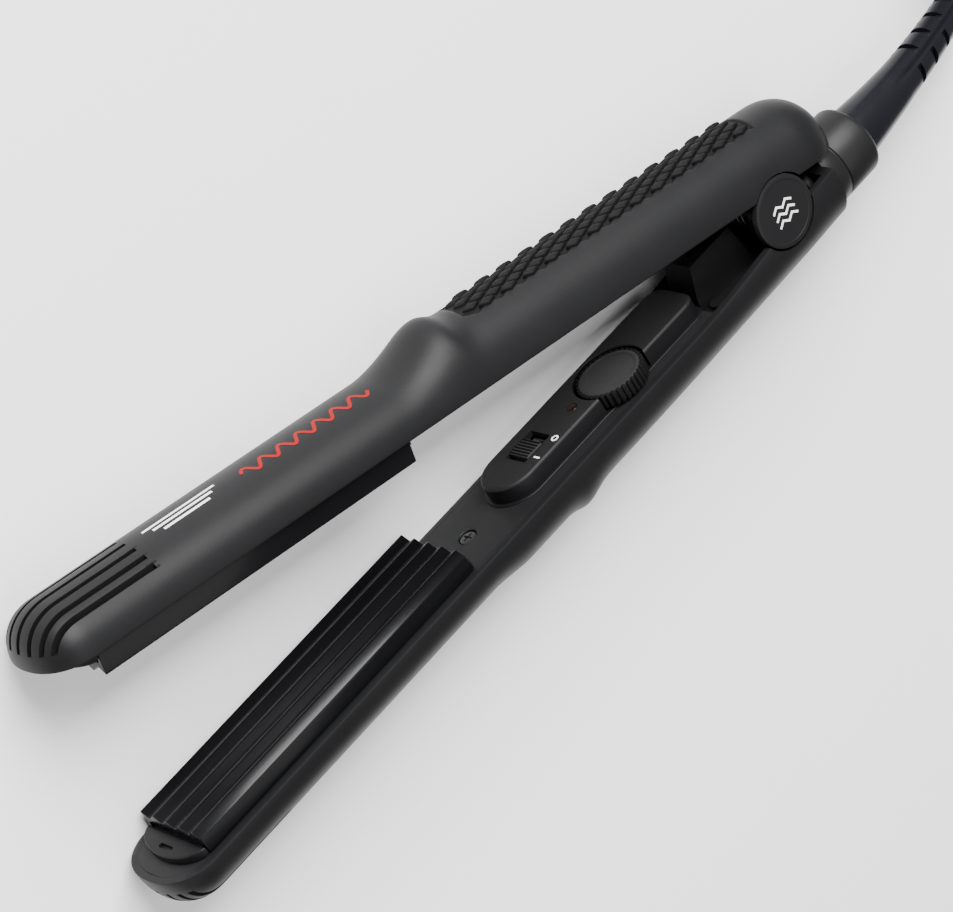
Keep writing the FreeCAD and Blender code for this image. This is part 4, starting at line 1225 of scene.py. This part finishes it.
def plug_matrix():
    ahead = Vector((math.cos(END_HEADING), math.sin(END_HEADING), 0.0))
    leave = coil_place(COIL_LEAVE, COIL_OUTER, PLUG_HALF_HEIGHT)
    return Matrix.Translation(leave + ahead * END_ROUTE[-1][0]) @ Matrix.Rotation(END_HEADING, 4, "Z")


def make_plug():
    """Flat plug body with a waisted sleeve, drawn along +x from the cord's entry."""
    shape = ((0.0, 4.6, 4.6, 2.0), (0.25, 4.9, 4.9, 2.0), (6.0, 5.2, 5.2, 2.0), (12.0, 5.9, 5.7, 2.1),
             (14.0, 8.6, 6.1, 2.4), (16.0, 12.2, 6.45, 2.9), (18.0, 15.2, 6.7, 3.4), (20.5, 17.1, 6.85, 3.9),
             (23.5, 17.6, 6.85, 4.2), (42.8, 17.6, 6.85, 4.2), (43.6, 17.25, 6.5, 4.2),
             (44.0, 16.4, 5.7, 4.2))
    body = loft("mains_plug", [[(x, y, z) for y, z in super_ring(half, height, power, 72)]
                               for x, half, height, power in shape])
    ridge = rounded_slab("ridge", box_outline(-0.6, 0.6, -17.75, 17.75, 0.5), -5.2, 5.2, 0.3, 0.3)
    ridges = in_line("plug_ridges", ridge, 5, (26.0, 0.0, 0.0), (3.0, 0.0, 0.0), PLUG)
    gland = lathe("gland", [(4.2, -0.55), (5.6, -0.5), (5.75, 0.0), (5.6, 0.5), (4.2, 0.55), (4.2, -0.55)],
                  axis="X", segments=48)
    glands = in_line("plug_glands", gland, 5, (2.0, 0.0, 0.0), (2.1, 0.0, 0.0), PLUG)
    return shade(joined([body, ridges, glands]), 32.0)


def make_pins():
    profile = [(0, 39.0), (1.5, 39.0), (1.5, 44.0), (2.0, 44.0), (2.0, 61.8), (1.75, 62.5), (1.2, 62.9),
               (0, 63.0)]
    return shade(joined([lathe("pin_pair", profile, (0, y, 0), "X", 40)
                         for y in (-0.5 * PIN_SPACING, 0.5 * PIN_SPACING)]), 35.0)


def make_soft_line():
    cord, route = make_cord()
    plugged = ROW @ plug_matrix()
    plug = finish_piece(make_plug(), plugged, "cord_swivel", PLUG, "plug_black", "plug_body")
    pins = finish_piece(make_pins(), plugged, "cord_swivel", NICKEL, "brass", "plug_pins")
    tie = finish_piece(make_tie(), ROW, "cord_swivel", TIE, "tie_black", "coil_tie")
    relief = finish_piece(make_relief(), ROW, "cord_swivel", RELIEF, "cord_rubber", "strain_relief")


# ---------------- camera, floor and lights
CAMERA_PLACE = (0.3566, -0.4690, 0.7347)
CAMERA_RIGHT = (-0.636, 0.4604, 0.6193)
CAMERA_UP = (-0.6739, -0.7223, -0.1552)
CAMERA_BACK = (0.3759, -0.516, 0.7697)
CAMERA_LENS = 142.75


def area_light(name, place, target, size, power):
    light = bpy.data.lights.new(name, "AREA")
    light.shape = "SQUARE"
    light.size = size
    light.energy = power
    obj = linked(name, light)
    obj.location = place
    obj.rotation_euler = (Vector(target) - Vector(place)).to_track_quat("-Z", "Y").to_euler()


def make_floor():
    low = cad_box[0][2]
    floor = new_object("floor", [(-4, -4, low), (4, -4, low), (4, 4, low), (-4, 4, low)], [(0, 1, 2, 3)])
    paper = surface("floor_paper", (0.86, 0.86, 0.86), 0.8, grain=300.0, relief=0.02, mottle=0.01)
    floor.data.materials.append(paper)


def make_camera():
    data = bpy.data.cameras.new("camera")
    data.sensor_width = 36.0
    data.lens = CAMERA_LENS
    data.clip_start = 0.01
    obj = linked("camera", data)
    columns = Matrix((CAMERA_RIGHT, CAMERA_UP, CAMERA_BACK)).transposed()
    obj.matrix_world = Matrix.Translation(CAMERA_PLACE) @ columns.to_4x4()
    bpy.context.scene.camera = obj


def make_lights():
    middle = (0, 0, 0.01)
    area_light("key_light", (-0.3, -1.3, 1.0), middle, 1.2, 125.0)
    area_light("top_light", (0.1, 0.2, 1.5), middle, 1.4, 14.0)
    area_light("fill_light", (1.1, 0.7, 0.7), middle, 1.0, 5.0)
    world = bpy.data.worlds.new("studio")
    world.use_nodes = True
    background = world.node_tree.nodes["Background"].inputs
    background["Color"].default_value = (1.0, 1.0, 1.0, 1.0)
    background["Strength"].default_value = 0.35
    bpy.context.scene.world = world


# ---------------- building
def make_gripped_shell():
    skin = make_upper_shell()
    return joined([skin, make_grip(skin)])


def make_upper_screws():
    screws = joined([make_screw(x, UPPER_RIM, -1) for x in (SCREW_X, REAR_SCREW_X)])
    screws.name = "upper_screws"
    return screws


def build_upper_arm():
    profile = plate_profile(UPPER_CREST, 1, False, UPPER_RIM - SKIRT_GAP)
    back = UPPER_CREST + CRIMP_DEPTH + PLATE_BODY
    for obj, material, slot, *nodes in (
            (make_gripped_shell(), SOFT_TOUCH, "shell_charcoal", "upper_shell"),
            (make_upper_cover(), COVER, "cover_black", "upper_inner_cover"),
            (make_upper_screws(), SCREW, "screw_steel", "upper_cover_screws"),
            (make_plate("upper_crimp_plate", profile), PLATE, "plate_glaze", "upper_plate"),
            (make_carrier("upper_carrier", 1, UPPER_RIM, back), CARRIER_BLACK_AND_POD_SHADE, "cover_black",
             "upper_plate_carrier"),
            (make_wave_mark(), MARK_RED, "shell_charcoal"),
            (make_bar_marks(), MARK_WHITE, "shell_charcoal")):
        finish_piece(obj, UPPER, "upper_arm", material, slot, *nodes)


def build_lower_arm():
    profile = plate_profile(0.0, -1, True, -LOWER_RIM + SKIRT_GAP)
    back = CRIMP_DEPTH + PLATE_BODY
    for obj, body, material, slot, *nodes in (
            (make_lower_shell(), "lower_arm", SOFT_TOUCH, "shell_charcoal", "lower_shell"),
            (make_lower_cover(), "lower_arm", COVER, "cover_black", "lower_inner_cover"),
            (make_screw(SCREW_X, -LOWER_RIM, 1), "lower_arm", SCREW, "screw_steel", "lower_cover_screw"),
            (make_plate("lower_crimp_plate", profile), "lower_arm", PLATE, "plate_glaze", "lower_plate"),
            (make_carrier("lower_carrier", -1, LOWER_RIM, back), "lower_arm", CARRIER_BLACK_AND_POD_SHADE, "cover_black",
             "lower_plate_carrier"),
            (make_lens(), "lower_arm", LENS, "lens_red", "indicator_lens"),
            (make_switch_marks(), "lower_arm", MARK_WHITE, "cover_black"),
            (make_dial(), "dial", DIAL, "dial_black", "temperature_dial"),
            (make_slider(), "slider", SLIDER, "slider_grey", "power_slider"),
            (make_cap("near_cap", 1), "lower_arm", CAP, "cap_grey", "pivot_cap_near"),
            (make_cap("far_cap", -1), "lower_arm", CAP, "cap_grey", "pivot_cap_far"),
            (make_cap_mark(), "lower_arm", MARK_WHITE, "cap_grey"),
            (make_collar(), "cord_swivel", COLLAR, "collar_black", "swivel_collar")):
        finish_piece(obj, LOWER, body, material, slot, *nodes)


build_upper_arm()
build_lower_arm()
make_soft_line()
paint_kept_nodes()
make_floor()
make_camera()
make_lights()
